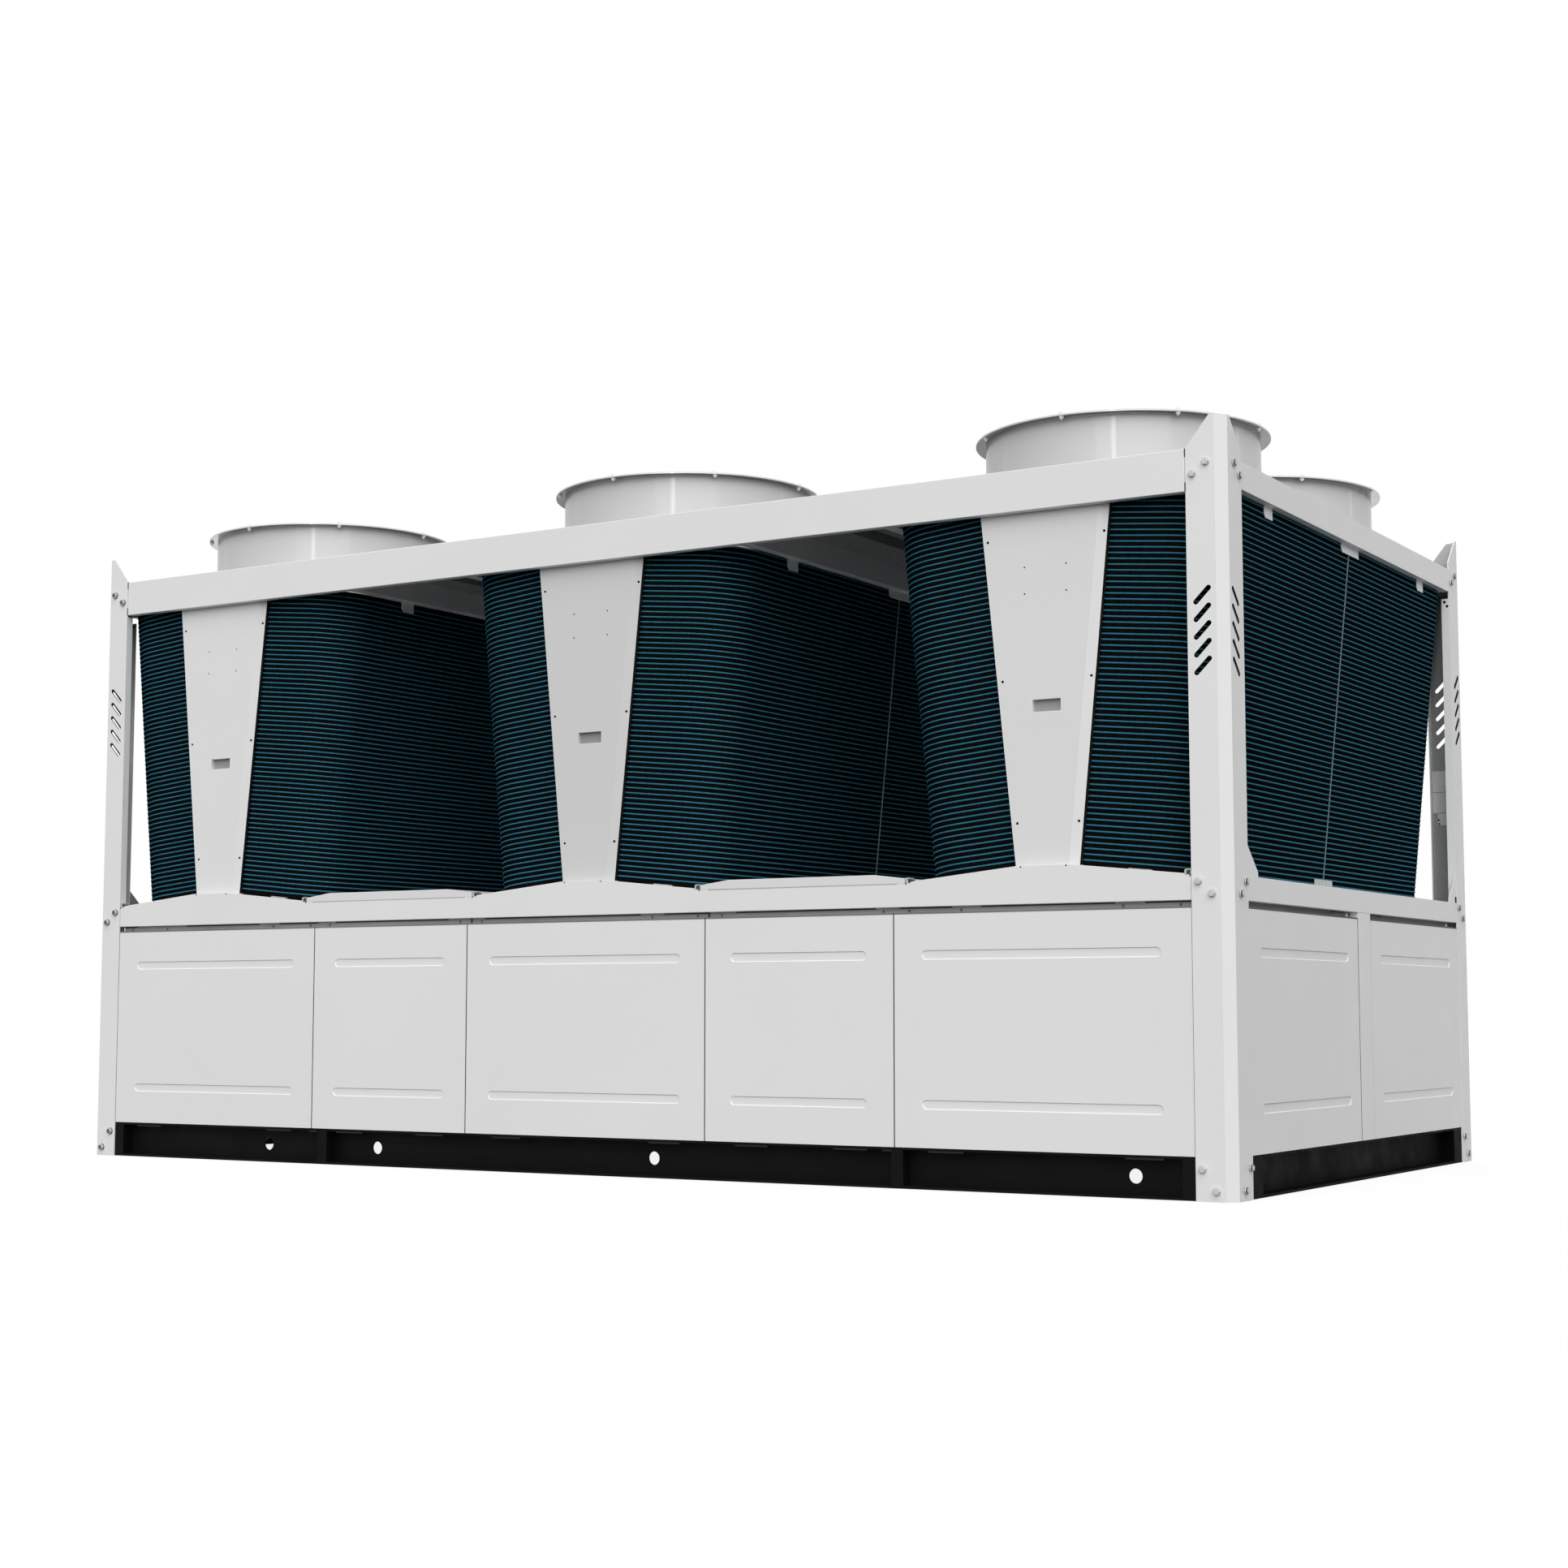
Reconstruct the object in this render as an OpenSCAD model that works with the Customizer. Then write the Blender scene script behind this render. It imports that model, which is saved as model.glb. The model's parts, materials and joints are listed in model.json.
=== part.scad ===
// Air cooled water chiller with three V-shaped coil modules and six roof fans.
// Millimetres. Origin at the middle of the footprint, +X along the length, +Z up.

/* [Unit] */
// Overall length along X
unit_length = 4412; // [4380:1:4600]
// Overall width along Y
unit_width = 2280; // [2250:1:2400]
// Distance from an end to the middle of the nearest coil module
end_bay = 570; // [560:1:620]

/* [Base frame] */
// Height of the base rails
base_height = 121; // [100:1:160]
// Thickness of the base rails
base_sheet = 8; // [6:0.5:10]
// Set-back of the base rail webs behind the flange edges
base_recess = 46; // [40:1:55]
// Distance from an end of the unit to the inner edge of the corner plate on a long side
corner_plate_long = 157; // [150:1:180]
// Distance from a long side to the inner edge of the corner plate on an end
corner_plate_end = 219; // [200:1:240]
// Width of an upright stiffener in the long base rails
stiffener_width = 40; // [30:1:50]
// Diameter of the lifting holes
lifting_hole_d = 42; // [30:1:50]
// Height of the lifting holes above the ground
lifting_hole_z = 59; // [50:1:65]
// Width of a base cross member
cross_member_width = 60; // [50:1:80]

/* [Corner posts] */
// Width of the post flange on the long side
post_front_flange = 116; // [110:1:130]
// Width of the post flange on the end
post_end_flange = 132; // [120:1:140]
// Chamfer of the outer corner, along each side
post_chamfer = 29; // [22:1:32]
// Thickness of the post sheet
post_sheet = 4; // [3:0.5:5]
// Depth of the inward lips beside the coils
post_lip = 28; // [20:1:36]
// Rise of the post above the top beam of the long side
post_top_rise = 90; // [70:1:110]
// Width of the flat top of each post flange, from the corner
post_top_flat = 44; // [40:1:60]
// Number of slanted slots in each post flange
slot_count = 5; // [3:1:7]
// Width of a slanted slot
slot_width = 15; // [8:1:18]
// Sideways run of a slanted slot between its end centres
slot_run = 38; // [30:1:50]
// Upward run of a slanted slot between its end centres
slot_rise = 38; // [30:1:52]
// Vertical distance between slots
slot_pitch = 50; // [46:1:60]
// Distance of the slots from the outer corner
slot_inset = 71; // [66:1:74]
// Height of the lowest slot above the mid beams
slot_above_mid = 585; // [500:1:640]

/* [Lower cabinet] */
// Height of the cabinet panels
panel_height = 691; // [600:1:760]
// Depth of a panel pan
panel_depth = 25; // [20:1:30]
// Thickness of the panel sheet
panel_sheet = 2; // [1.5:0.5:3]
// Gap round each panel
panel_gap = 4; // [2:0.5:5]
// Set-back of the panel faces from the post faces
panel_inset = 2; // [1:0.5:4]
// Width of the middle panel of a long side
middle_panel_width = 944; // [900:1:1000]
// Width of the panels beside the middle one
side_panel_width = 671; // [640:1:700]
// Width of the upright strip in the middle of each end
mullion_width = 120; // [80:1:140]
// Height of a pressed bead
bead_height = 28; // [20:1:36]
// Depth of a pressed bead
bead_depth = 3; // [2:0.5:6]
// Width of a bead's sloping side
bead_slope = 2; // [1.5:0.5:8]
// Distance of a bead's middle from the lower or upper panel edge
bead_inset = 126; // [100:1:150]
// Distance of a bead's end from the panel's side
bead_margin = 92; // [60:1:120]

/* [Mid beams] */
// Dark gap between the panels and the mid beams
recess_height = 17; // [12:1:24]
// Height of the mid beams
mid_beam_height = 69; // [60:1:80]
// Thickness of the mid beam sheet
mid_sheet = 3; // [2:0.5:4]
// Length of the leg behind the panels
mid_leg = 70; // [50:1:90]
// Rise of the fascia humps above the drain pans
hump_rise = 2.5; // [1:0.5:5]
// Sideways reach of an end gusset
gusset_reach = 82; // [60:1:100]
// Height of an end gusset
gusset_rise = 90; // [70:1:110]
// Height of an end gusset at its low end
gusset_foot = 14; // [10:1:20]
// Set-back of an end gusset from the beam face
gusset_inset = 1.5; // [1:0.5:2]
// Width of the beams inside the cabinet top
cross_beam_width = 60; // [50:1:70]

/* [Coils] */
// Outward lean of the coils in degrees
coil_tilt = 5.8; // [4:0.1:6.2]
// Height of a coil along its slope
coil_height = 1100; // [1000:1:1200]
// Thickness of a coil
coil_thickness = 62; // [40:1:70]
// Outer radius of the coil bend
coil_bend = 150; // [120:1:180]
// Width of a coil along the sloping pan
coil_width = 356; // [330:1:362]
// Set-back of the coil face from the long side
coil_inset = 55; // [50:1:70]
// Gap between the two coils that meet on a side
coil_seam = 6; // [4:1:10]
// Half width of the flat top of a drain pan
pan_flat = 80; // [60:1:90]
// Distance from the pan's flat top to the inner end of a coil
coil_start = 8; // [4:1:20]
// Thickness of the drain pan sheet
pan_sheet = 3; // [2:0.5:4]
// Width of the flat lip along each side of a drain pan
pan_lip = 12; // [10:1:16]
// Set-back of the coil cover face from the long side
cover_inset = 34; // [32:1:40]
// Overlap of the coil cover on each coil end
cover_overlap = 15; // [8:1:25]
// Thickness of the coil cover sheet
cover_sheet = 2; // [1.5:0.5:3]
// Width of the coil cover's folded edge
cover_fold = 37; // [20:1:45]
// Angle of the folded edge in degrees
cover_fold_angle = 16; // [8:1:20]
// Width of the handle recess in the coil cover
handle_width = 90; // [70:1:100]
// Height of the handle recess
handle_height = 36; // [28:1:40]
// Height of the handle recess above the drain pan
handle_above_pan = 470; // [400:1:600]
// Height of the raised top of a valley cover
valley_rise = 29; // [24:1:40]
// Height of a valley cover's edges
valley_edge = 15; // [10:1:18]
// Width of the sloping side of a valley cover
valley_slope = 104; // [80:1:120]

/* [Roof and fans] */
// Height of the rails above the coils
rail_height = 81; // [70:1:100]
// Width of the rails above the coils
rail_width = 42; // [36:1:60]
// Thickness of the rails above the coils
rail_sheet = 3; // [2:0.5:4]
// Gap between the coils and the rails above them
coil_head_gap = 3; // [2:0.5:5]
// Width of a coil tab
tab_width = 66; // [50:1:80]
// Distance that a coil tab hangs below its rail
tab_drop = 37; // [30:1:45]
// Distance of the coil tabs from the long sides
tab_inset = 405; // [380:1:430]
// Width of the tab over the coil seam
seam_tab_width = 164; // [140:1:180]
// Distance that the seam tab hangs below its rail
seam_tab_drop = 29; // [24:1:36]
// Cut corner of a coil tab
tab_corner = 10; // [6:1:14]
// Height of the top beams of the long sides
top_beam_height = 124; // [115:1:140]
// Rise of the top beams of the long sides above the rails
top_beam_rise = 25; // [18:1:30]
// Inward width of the top beam flanges
top_beam_flange = 29; // [20:1:29]
// Thickness of the roof deck
deck_sheet = 3; // [2:0.5:4]
// Height of the turned-down edges between roof bays
deck_edge = 36; // [25:1:45]
// Distance between the two fans of a module
fan_spacing = 1068; // [1020:1:1100]
// Outer radius of a fan cowl
cowl_radius = 427; // [410:1:440]
// Thickness of the cowl sheet
cowl_sheet = 3; // [2:0.5:4]
// Height of a cowl above the deck
cowl_height = 211; // [190:1:240]
// Outer radius of the cowl's top flange
cowl_flange_radius = 458; // [450:1:480]
// Outer radius of the cowl's foot flange
cowl_foot_radius = 468; // [450:1:490]
// Thickness of the cowl flanges
cowl_flange = 5; // [4:0.5:8]
// Number of guard rings inside the outer one
guard_rings = 9; // [6:1:12]
// Width of a guard wire
guard_wire = 5; // [4:0.5:7]
// Radius of the guard's middle plate
guard_plate_radius = 100; // [80:1:120]
// Radius of the fan hub
hub_radius = 105; // [90:1:120]
// Height of the fan hub
hub_height = 90; // [70:1:110]
// Height of the fan motor above the hub
motor_height = 55; // [40:1:60]
// Number of blades in a fan
blade_count = 5; // [4:1:7]
// Gap between the blade tips and the cowl
tip_gap = 18; // [12:1:24]
// Thickness of a blade
blade_thickness = 9; // [7:0.5:12]

/* [Hidden] */
SIDES = ["left", "middle", "right"];
$fn = 64;

paint = "#d9d9d6";
base_black = "#1b1c1d";
coil_black = "#14181b";
galvanised = "#8a8d90";
cut = 1;

half_length = unit_length / 2;
half_width = unit_width / 2;
module_pitch = half_length - end_bay;
module_x = [-module_pitch, 0, module_pitch];

// Module sides that face another module: middle of the module, and 1 for its right side
inner_sides = [[-module_pitch, 1], [0, -1], [0, 1], [module_pitch, -1]];

tilt_tan = tan(coil_tilt);
beam_gap = 2;

// Heights of the layers, from the ground up
panel_top = base_height + panel_height;
mid_bottom = panel_top + recess_height;
mid_top = mid_bottom + mid_beam_height;
pan_edge_gap = 4;
pan_edge_x = pan_flat + coil_width * cos(coil_tilt) + pan_edge_gap;
pan_half = pan_edge_x + pan_lip;
lip_top = mid_top + pan_sheet;
pan_top = lip_top + (pan_edge_x - pan_flat) * tilt_tan;
coil_outer_top_x = pan_flat + coil_width * cos(coil_tilt) + coil_height * sin(coil_tilt);
coil_outer_top_z = pan_top - coil_width * sin(coil_tilt) + coil_height * cos(coil_tilt);
rail_bottom = coil_outer_top_z + coil_head_gap;
deck_under = rail_bottom + rail_height;
deck_top = deck_under + deck_sheet;
top_beam_top = deck_under + top_beam_rise;
top_beam_bottom = top_beam_top - top_beam_height;
post_height = top_beam_top + post_top_rise;
cowl_top = deck_top + cowl_height;

// Lines where beams and panels end beside the posts
front_end_x = half_length - post_front_flange - beam_gap;
end_end_y = half_width - post_end_flange - beam_gap;
web_y = half_width - post_sheet;
web_x = half_length - post_sheet;
tongue_sheet = 4;
tongue_start = post_chamfer + 3 * post_sheet;
tongue_overlap = 60;
tongue_margin = 6;
top_tongue_margin = 27;
lip_margin = 12;
shelf_gap = 2;

// Places along the base, as shares of half the length
lifting_hole_x = half_length * [-0.627, -0.403, 0.113, 0.8563];
cross_member_x = half_length * [-0.376, 0.281, 0.5213, 0.8885];
stiffener_x = half_length * [-0.4964, 0.5213];
base_web_y = web_y - base_recess;
base_web_x = web_x - base_recess;

tab_gap = 1;
rail_overlap = 10;
rail_inner_x = coil_outer_top_x - rail_overlap;
rail_outer_x = rail_inner_x + rail_width;
cowl_inner = cowl_radius - cowl_sheet;
fan_y = fan_spacing / 2;
guard_z = cowl_top - guard_wire;

// Copies of a piece on the right at both ends of the unit
module at_corner(right, front) {
    mirror([right ? 0 : 1, 0, 0])
        mirror([0, front ? 0 : 1, 0])
            translate([half_length, -half_width, 0])
                children();
}

// Turns a piece drawn on the front so that it stands at the rear
module on_row(row) {
    mirror([0, row == "rear" ? 1 : 0, 0])
        children();
}

// Turns a piece drawn on the right so that it stands at the left
module on_end(side) {
    mirror([side == "left" ? 1 : 0, 0, 0])
        children();
}

// Places a piece drawn on the right side of a module
module on_inner_side(place) {
    translate([place[0], 0, 0])
        mirror([place[1] < 0 ? 1 : 0, 0, 0])
            children();
}

// Extrudes an X-Z outline along Y
module along_y(from_y, to_y) {
    translate([0, to_y, 0])
        rotate([90, 0, 0])
            linear_extrude(height = to_y - from_y)
                children();
}

// Extrudes a Y-Z outline along X
module along_x(from_x, to_x) {
    translate([from_x, 0, 0])
        rotate([90, 0, 90])
            linear_extrude(height = to_x - from_x)
                children();
}

module box(low, high) {
    translate(low)
        cube(high - low);
}

// C-shaped outline with its web at u = 0 and its flanges reaching towards +u
module channel_outline(flange_low, flange_high, low, high, sheet) {
    union() {
        translate([0, low])
            square([sheet, high - low]);
        translate([0, low])
            square([flange_low, sheet]);
        translate([0, high - sheet])
            square([flange_high, sheet]);
    }
}

// Base rails: channels that open outwards, with flush corner plates beside the posts
module long_base_rail() {
    rail_half = half_length - tongue_start;
    plate_x = half_length - corner_plate_long;
    back_y = base_sheet - base_web_y;
    color(base_black)
        difference() {
            union() {
                box([-rail_half, -base_web_y, 0], [rail_half, back_y, base_height]);
                for (z = [0, base_height - base_sheet])
                    box([-rail_half, -web_y, z], [rail_half, back_y, z + base_sheet]);
                for (end = [0, 1])
                    mirror([end, 0, 0]) {
                        box([plate_x, -web_y, 0], [plate_x + base_sheet, back_y, base_height]);
                        box([plate_x, -web_y, 0], [rail_half, base_sheet - web_y, base_height]);
                    }
                for (x = stiffener_x)
                    box([x - stiffener_width / 2, -web_y, 0], [x + stiffener_width / 2, back_y, base_height]);
            }
            for (x = lifting_hole_x)
                translate([x, -base_web_y - cut, lifting_hole_z])
                    rotate([-90, 0, 0])
                        cylinder(h = base_sheet + 2 * cut, d = lifting_hole_d);
        }
}

module end_base_rail() {
    plate_y = half_width - corner_plate_end;
    rail_half = base_web_y - base_sheet;
    back_x = base_web_x - base_sheet;
    color(base_black)
        union() {
            box([back_x, -plate_y, 0], [base_web_x, plate_y, base_height]);
            for (z = [0, base_height - base_sheet])
                box([back_x, -rail_half, z], [web_x, rail_half, z + base_sheet]);
            for (end = [0, 1])
                mirror([0, end, 0]) {
                    box([back_x, plate_y, 0], [web_x, plate_y + base_sheet, base_height]);
                    box([web_x - base_sheet, plate_y, 0], [web_x, half_width - tongue_start, base_height]);
                }
        }
}

module base_cross_members() {
    reach = base_web_y - base_sheet;
    color(base_black)
        for (x = cross_member_x)
            along_y(-reach, reach)
                translate([x - cross_member_width / 2, 0])
                    channel_outline(cross_member_width, cross_member_width, 0, base_height - base_sheet, base_sheet);
}

// Corner post: a folded angle with a chamfered corner, sloping tops and inward lips
module post_outline() {
    fold = post_sheet * (sqrt(2) - 1);
    polygon([
        [-post_front_flange, 0],
        [-post_chamfer, 0],
        [0, post_chamfer],
        [0, post_end_flange],
        [-post_sheet, post_end_flange],
        [-post_sheet, post_chamfer + fold],
        [-post_chamfer - fold, post_sheet],
        [-post_front_flange, post_sheet]
    ]);
}

// Sloping cut over a flange, drawn as distance from the corner against height
module post_top_cut(flange) {
    polygon([
        [post_top_flat, post_height],
        [flange, top_beam_top],
        [flange + cut, top_beam_top],
        [flange + cut, post_height + cut],
        [post_top_flat, post_height + cut]
    ]);
}

// Slanted slots, drawn as distance from the corner against height
module post_slots() {
    for (i = [0 : slot_count - 1])
        translate([slot_inset, mid_top + slot_above_mid + i * slot_pitch])
            rotate(atan2(slot_rise, -slot_run))
                stadium(norm([slot_run, slot_rise]) + slot_width, slot_width);
}

// Rounded bar of the given overall length, lying along the first axis
module stadium(length, width) {
    straight = length - width;
    union() {
        square([straight, width], center = true);
        for (end = [-1, 1])
            translate([end * straight / 2, 0])
                circle(d = width);
    }
}

module corner_post(right, front) {
    front_lip_bottom = mid_top + lip_margin;
    end_lip_bottom = front_lip_bottom + gusset_rise;
    lip_top_z = top_beam_bottom - tongue_margin;
    color(paint)
        at_corner(right, front)
            difference() {
                union() {
                    linear_extrude(height = post_height)
                        post_outline();
                    box([-post_front_flange, 0, front_lip_bottom],
                        [post_sheet - post_front_flange, post_lip, lip_top_z]);
                    box([-post_lip, post_end_flange - post_sheet, end_lip_bottom],
                        [0, post_end_flange, lip_top_z]);
                }
                along_y(-cut, post_sheet + cut)
                    mirror([1, 0]) {
                        post_top_cut(post_front_flange);
                        post_slots();
                    }
                along_x(-post_sheet - cut, cut) {
                    post_top_cut(post_end_flange);
                    post_slots();
                }
            }
}

// Groove of a pressed bead, pointing towards +Y from the panel face at y = 0
module bead_groove(length, height, depth) {
    radius = height / 2;
    straight = length - height;
    rotate([90, 0, 0])
        mirror([0, 0, 1]) {
            translate([-straight / 2, 0, 0])
                rotate([90, 0, 90])
                    linear_extrude(height = straight)
                        polygon([
                            [-radius, 0],
                            [radius, 0],
                            [radius - bead_slope, depth],
                            [bead_slope - radius, depth]
                        ]);
            for (end = [-1, 1])
                translate([end * straight / 2, 0, 0])
                    cylinder(h = depth, r1 = radius, r2 = radius - bead_slope);
        }
}

// Panel pan with two pressed beads, its face at y = 0 and its pan towards +Y
module panel_pan(width, height) {
    difference() {
        union() {
            difference() {
                box([-width / 2, 0, 0], [width / 2, panel_depth, height]);
                box([panel_sheet - width / 2, panel_sheet, panel_sheet],
                    [width / 2 - panel_sheet, panel_depth + cut, height - panel_sheet]);
            }
            panel_beads(width, height, panel_sheet, bead_depth);
        }
        panel_beads(width, height, 0, bead_depth);
    }
}

// Both beads of a panel, pushed in by the given offset
module panel_beads(width, height, offset_y, depth) {
    for (z = [bead_inset, height - bead_inset])
        translate([0, offset_y, z])
            bead_groove(width - 2 * bead_margin, bead_height, depth);
}

module long_panels() {
    seams = [
        -front_end_x - beam_gap,
        -middle_panel_width / 2 - side_panel_width,
        -middle_panel_width / 2,
        middle_panel_width / 2,
        middle_panel_width / 2 + side_panel_width,
        front_end_x + beam_gap
    ];
    color(paint)
        for (i = [0 : len(seams) - 2])
            translate([(seams[i] + seams[i + 1]) / 2, panel_inset - half_width, base_height])
                panel_pan(seams[i + 1] - seams[i] - panel_gap, panel_height);
}

module end_panels() {
    inner = mullion_width / 2 + panel_gap / 2;
    outer = end_end_y + beam_gap;
    color(paint) {
        for (end = [-1, 1])
            translate([half_length - panel_inset, end * (inner + outer) / 2, base_height])
                rotate([0, 0, 90])
                    panel_pan(outer - inner - panel_gap, panel_height);
        end_mullion();
    }
}

// Upright strip between the two panels of an end, a shallow channel
module end_mullion() {
    back_x = half_length - panel_inset - panel_depth;
    translate([0, 0, base_height])
        linear_extrude(height = mid_bottom - base_height)
            difference() {
                translate([back_x, (panel_gap - mullion_width) / 2])
                    square([panel_depth + panel_inset / 2, mullion_width - panel_gap]);
                translate([back_x - cut, (panel_gap - mullion_width) / 2 + panel_sheet])
                    square([panel_depth - panel_sheet + cut, mullion_width - panel_gap - 2 * panel_sheet]);
            }
}

// Folded outline of a mid beam: web, bottom flange and a leg behind the panels,
// drawn as depth from the outer face against height
module mid_beam_outline() {
    back = panel_inset + panel_depth;
    union() {
        translate([0, mid_bottom])
            square([mid_sheet, mid_beam_height]);
        translate([0, mid_bottom])
            square([back + mid_sheet, mid_sheet]);
        translate([back, mid_bottom - mid_leg])
            square([mid_sheet, mid_leg + mid_sheet]);
    }
}

// Raised part of the fascia that follows a roof-shaped drain pan
module fascia_hump() {
    edge_z = lip_top + hump_rise;
    peak_z = pan_top + hump_rise;
    polygon([
        [-pan_half, mid_top - mid_sheet],
        [pan_half, mid_top - mid_sheet],
        [pan_half, edge_z],
        [pan_edge_x, edge_z],
        [pan_flat, peak_z],
        [-pan_flat, peak_z],
        [-pan_edge_x, edge_z],
        [-pan_half, edge_z]
    ]);
}

// End tongue of a beam, lying on the inside of a post flange
module front_tongue(low, high, sheet) {
    for (end = [0, 1])
        mirror([end, 0, 0])
            box([front_end_x - tongue_overlap, -web_y, low],
                [half_length - tongue_start, tongue_sheet - web_y, high]);
    for (end = [0, 1])
        mirror([end, 0, 0])
            box([front_end_x - tongue_overlap, sheet - half_width, low],
                [front_end_x, tongue_sheet - web_y, high]);
}

module end_tongue(low, high, sheet) {
    for (end = [0, 1])
        mirror([0, end, 0])
            box([web_x - tongue_sheet, end_end_y - tongue_overlap, low],
                [web_x, half_width - tongue_start, high]);
    for (end = [0, 1])
        mirror([0, end, 0])
            box([web_x - tongue_sheet, end_end_y - tongue_overlap, low],
                [half_length - sheet, end_end_y, high]);
}

module front_mid_beam() {
    color(paint)
        union() {
            along_x(-front_end_x, front_end_x)
                translate([-half_width, 0])
                    mid_beam_outline();
            along_y(-half_width, mid_sheet - half_width)
                for (x = module_x)
                    translate([x, 0])
                        intersection() {
                            fascia_hump();
                            translate([-front_end_x - x, 0])
                                square([2 * front_end_x, pan_top + 2 * hump_rise]);
                        }
            front_tongue(mid_bottom + tongue_margin, mid_top - tongue_margin, mid_sheet);
        }
}

module end_mid_beam() {
    shelf_x = module_pitch + pan_edge_x + shelf_gap;
    color(paint)
        union() {
            along_y(-end_end_y, end_end_y)
                translate([half_length, 0])
                    mirror([1, 0])
                        mid_beam_outline();
            box([shelf_x, -end_end_y, mid_top - mid_sheet], [half_length, end_end_y, mid_top]);
            end_tongue(mid_bottom + tongue_margin, mid_top - 2 * mid_sheet, mid_sheet);
            for (end = [0, 1])
                mirror([0, end, 0])
                    end_gusset();
        }
}

// Corner plate between the end mid beam and the post
module end_gusset() {
    face_x = half_length - gusset_inset;
    along_x(face_x - mid_sheet, face_x)
        polygon([
            [end_end_y, mid_top - mid_sheet],
            [end_end_y, mid_top + gusset_rise],
            [end_end_y - gusset_reach, mid_top + gusset_foot],
            [end_end_y - gusset_reach, mid_top - mid_sheet]
        ]);
}

// Beams inside the cabinet that carry the pan lips and the valley covers
module mid_cross_beams() {
    reach = half_width - mid_sheet;
    color(galvanised)
        for (place = inner_sides)
            on_inner_side(place)
                along_y(-reach, reach)
                    translate([pan_edge_x, 0])
                        channel_outline(cross_beam_width, cross_beam_width,
                            mid_bottom + mid_sheet, mid_top, mid_sheet);
}

// Roof-shaped sheet under the coils of one module
module drain_pan(x) {
    reach = half_width - max(mid_sheet, post_sheet);
    inner_flat = pan_flat - pan_sheet * tan(coil_tilt / 2);
    inner_edge = pan_edge_x - pan_sheet * tan(coil_tilt / 2);
    color(galvanised)
        translate([x, 0, 0])
            along_y(-reach, reach)
                polygon([
                    [-pan_half, lip_top - pan_sheet],
                    [-inner_edge, lip_top - pan_sheet],
                    [-inner_flat, pan_top - pan_sheet],
                    [inner_flat, pan_top - pan_sheet],
                    [inner_edge, lip_top - pan_sheet],
                    [pan_half, lip_top - pan_sheet],
                    [pan_half, lip_top],
                    [pan_edge_x, lip_top],
                    [pan_flat, pan_top],
                    [-pan_flat, pan_top],
                    [-pan_edge_x, lip_top],
                    [-pan_half, lip_top]
                ]);
}

// Raised cover between two modules, closed at both ends
module valley_outline(inset, foot_z) {
    low_x = pan_half + panel_gap + inset;
    high_x = module_pitch - low_x;
    edge_z = mid_top + valley_edge - inset;
    polygon([
        [low_x, foot_z],
        [high_x, foot_z],
        [high_x, edge_z],
        [high_x - valley_slope, mid_top + valley_rise - inset],
        [low_x + valley_slope, mid_top + valley_rise - inset],
        [low_x, edge_z]
    ]);
}

module valley_covers() {
    color(paint)
        for (end = [0, 1])
            mirror([end, 0, 0])
                difference() {
                    along_y(-half_width, half_width)
                        valley_outline(0, mid_top);
                    along_y(panel_sheet - half_width, half_width - panel_sheet)
                        valley_outline(panel_sheet, mid_top - cut);
                }
}

// Plan outline of one L-shaped coil, its front leg towards -Y
module coil_outline() {
    front_y = coil_inset - half_width;
    bend_x = coil_width - coil_bend;
    bend_y = front_y + coil_bend;
    union() {
        translate([coil_width - coil_thickness, bend_y])
            square([coil_thickness, -bend_y - coil_seam / 2]);
        translate([coil_start, front_y])
            square([bend_x - coil_start, coil_thickness]);
        intersection() {
            translate([bend_x, bend_y])
                difference() {
                    circle(r = coil_bend);
                    circle(r = coil_bend - coil_thickness);
                }
            translate([bend_x, front_y])
                square([coil_bend, coil_bend]);
        }
    }
}

// Four coils of one module, leaning outwards on the slopes of the drain pan
module coils(x) {
    color(coil_black)
        translate([x, 0, 0])
            for (side = [0, 1], row = [0, 1])
                mirror([side, 0, 0])
                    mirror([0, row, 0])
                        translate([pan_flat, 0, pan_top])
                            rotate([0, coil_tilt, 0])
                                linear_extrude(height = coil_height)
                                    coil_outline();
}

cover_tuck = 7;
handle_pocket = 0.7;

// Half width of a coil cover at a given height
function cover_half(z) = pan_flat + (coil_start + cover_overlap) / cos(coil_tilt) + (z - pan_top) * tilt_tan;

// Outline of a coil cover, set in at the left, foot and head and open by a given reach at the right
module cover_outline(inset, reach) {
    low = pan_top + inset;
    high = top_beam_bottom + cover_tuck - inset;
    polygon([
        [-cover_half(low) + inset, low],
        [cover_half(low) + reach, low],
        [cover_half(high) + reach, high],
        [-cover_half(high) + inset, high]
    ]);
}

// Wedge in front of a cover's folded right edge, which starts at the given depth
module cover_fold_wedge(face_y) {
    run = cover_fold + 2 * cut;
    translate([cover_half(pan_top), face_y, pan_top])
        rotate([0, coil_tilt, 0])
            translate([0, 0, -coil_height])
                linear_extrude(height = 3 * coil_height)
                    polygon([
                        [-cover_fold, 0],
                        [run - cover_fold, run * tan(cover_fold_angle)],
                        [run - cover_fold, -2 * cover_sheet],
                        [-cover_fold, -2 * cover_sheet]
                    ]);
}

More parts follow.
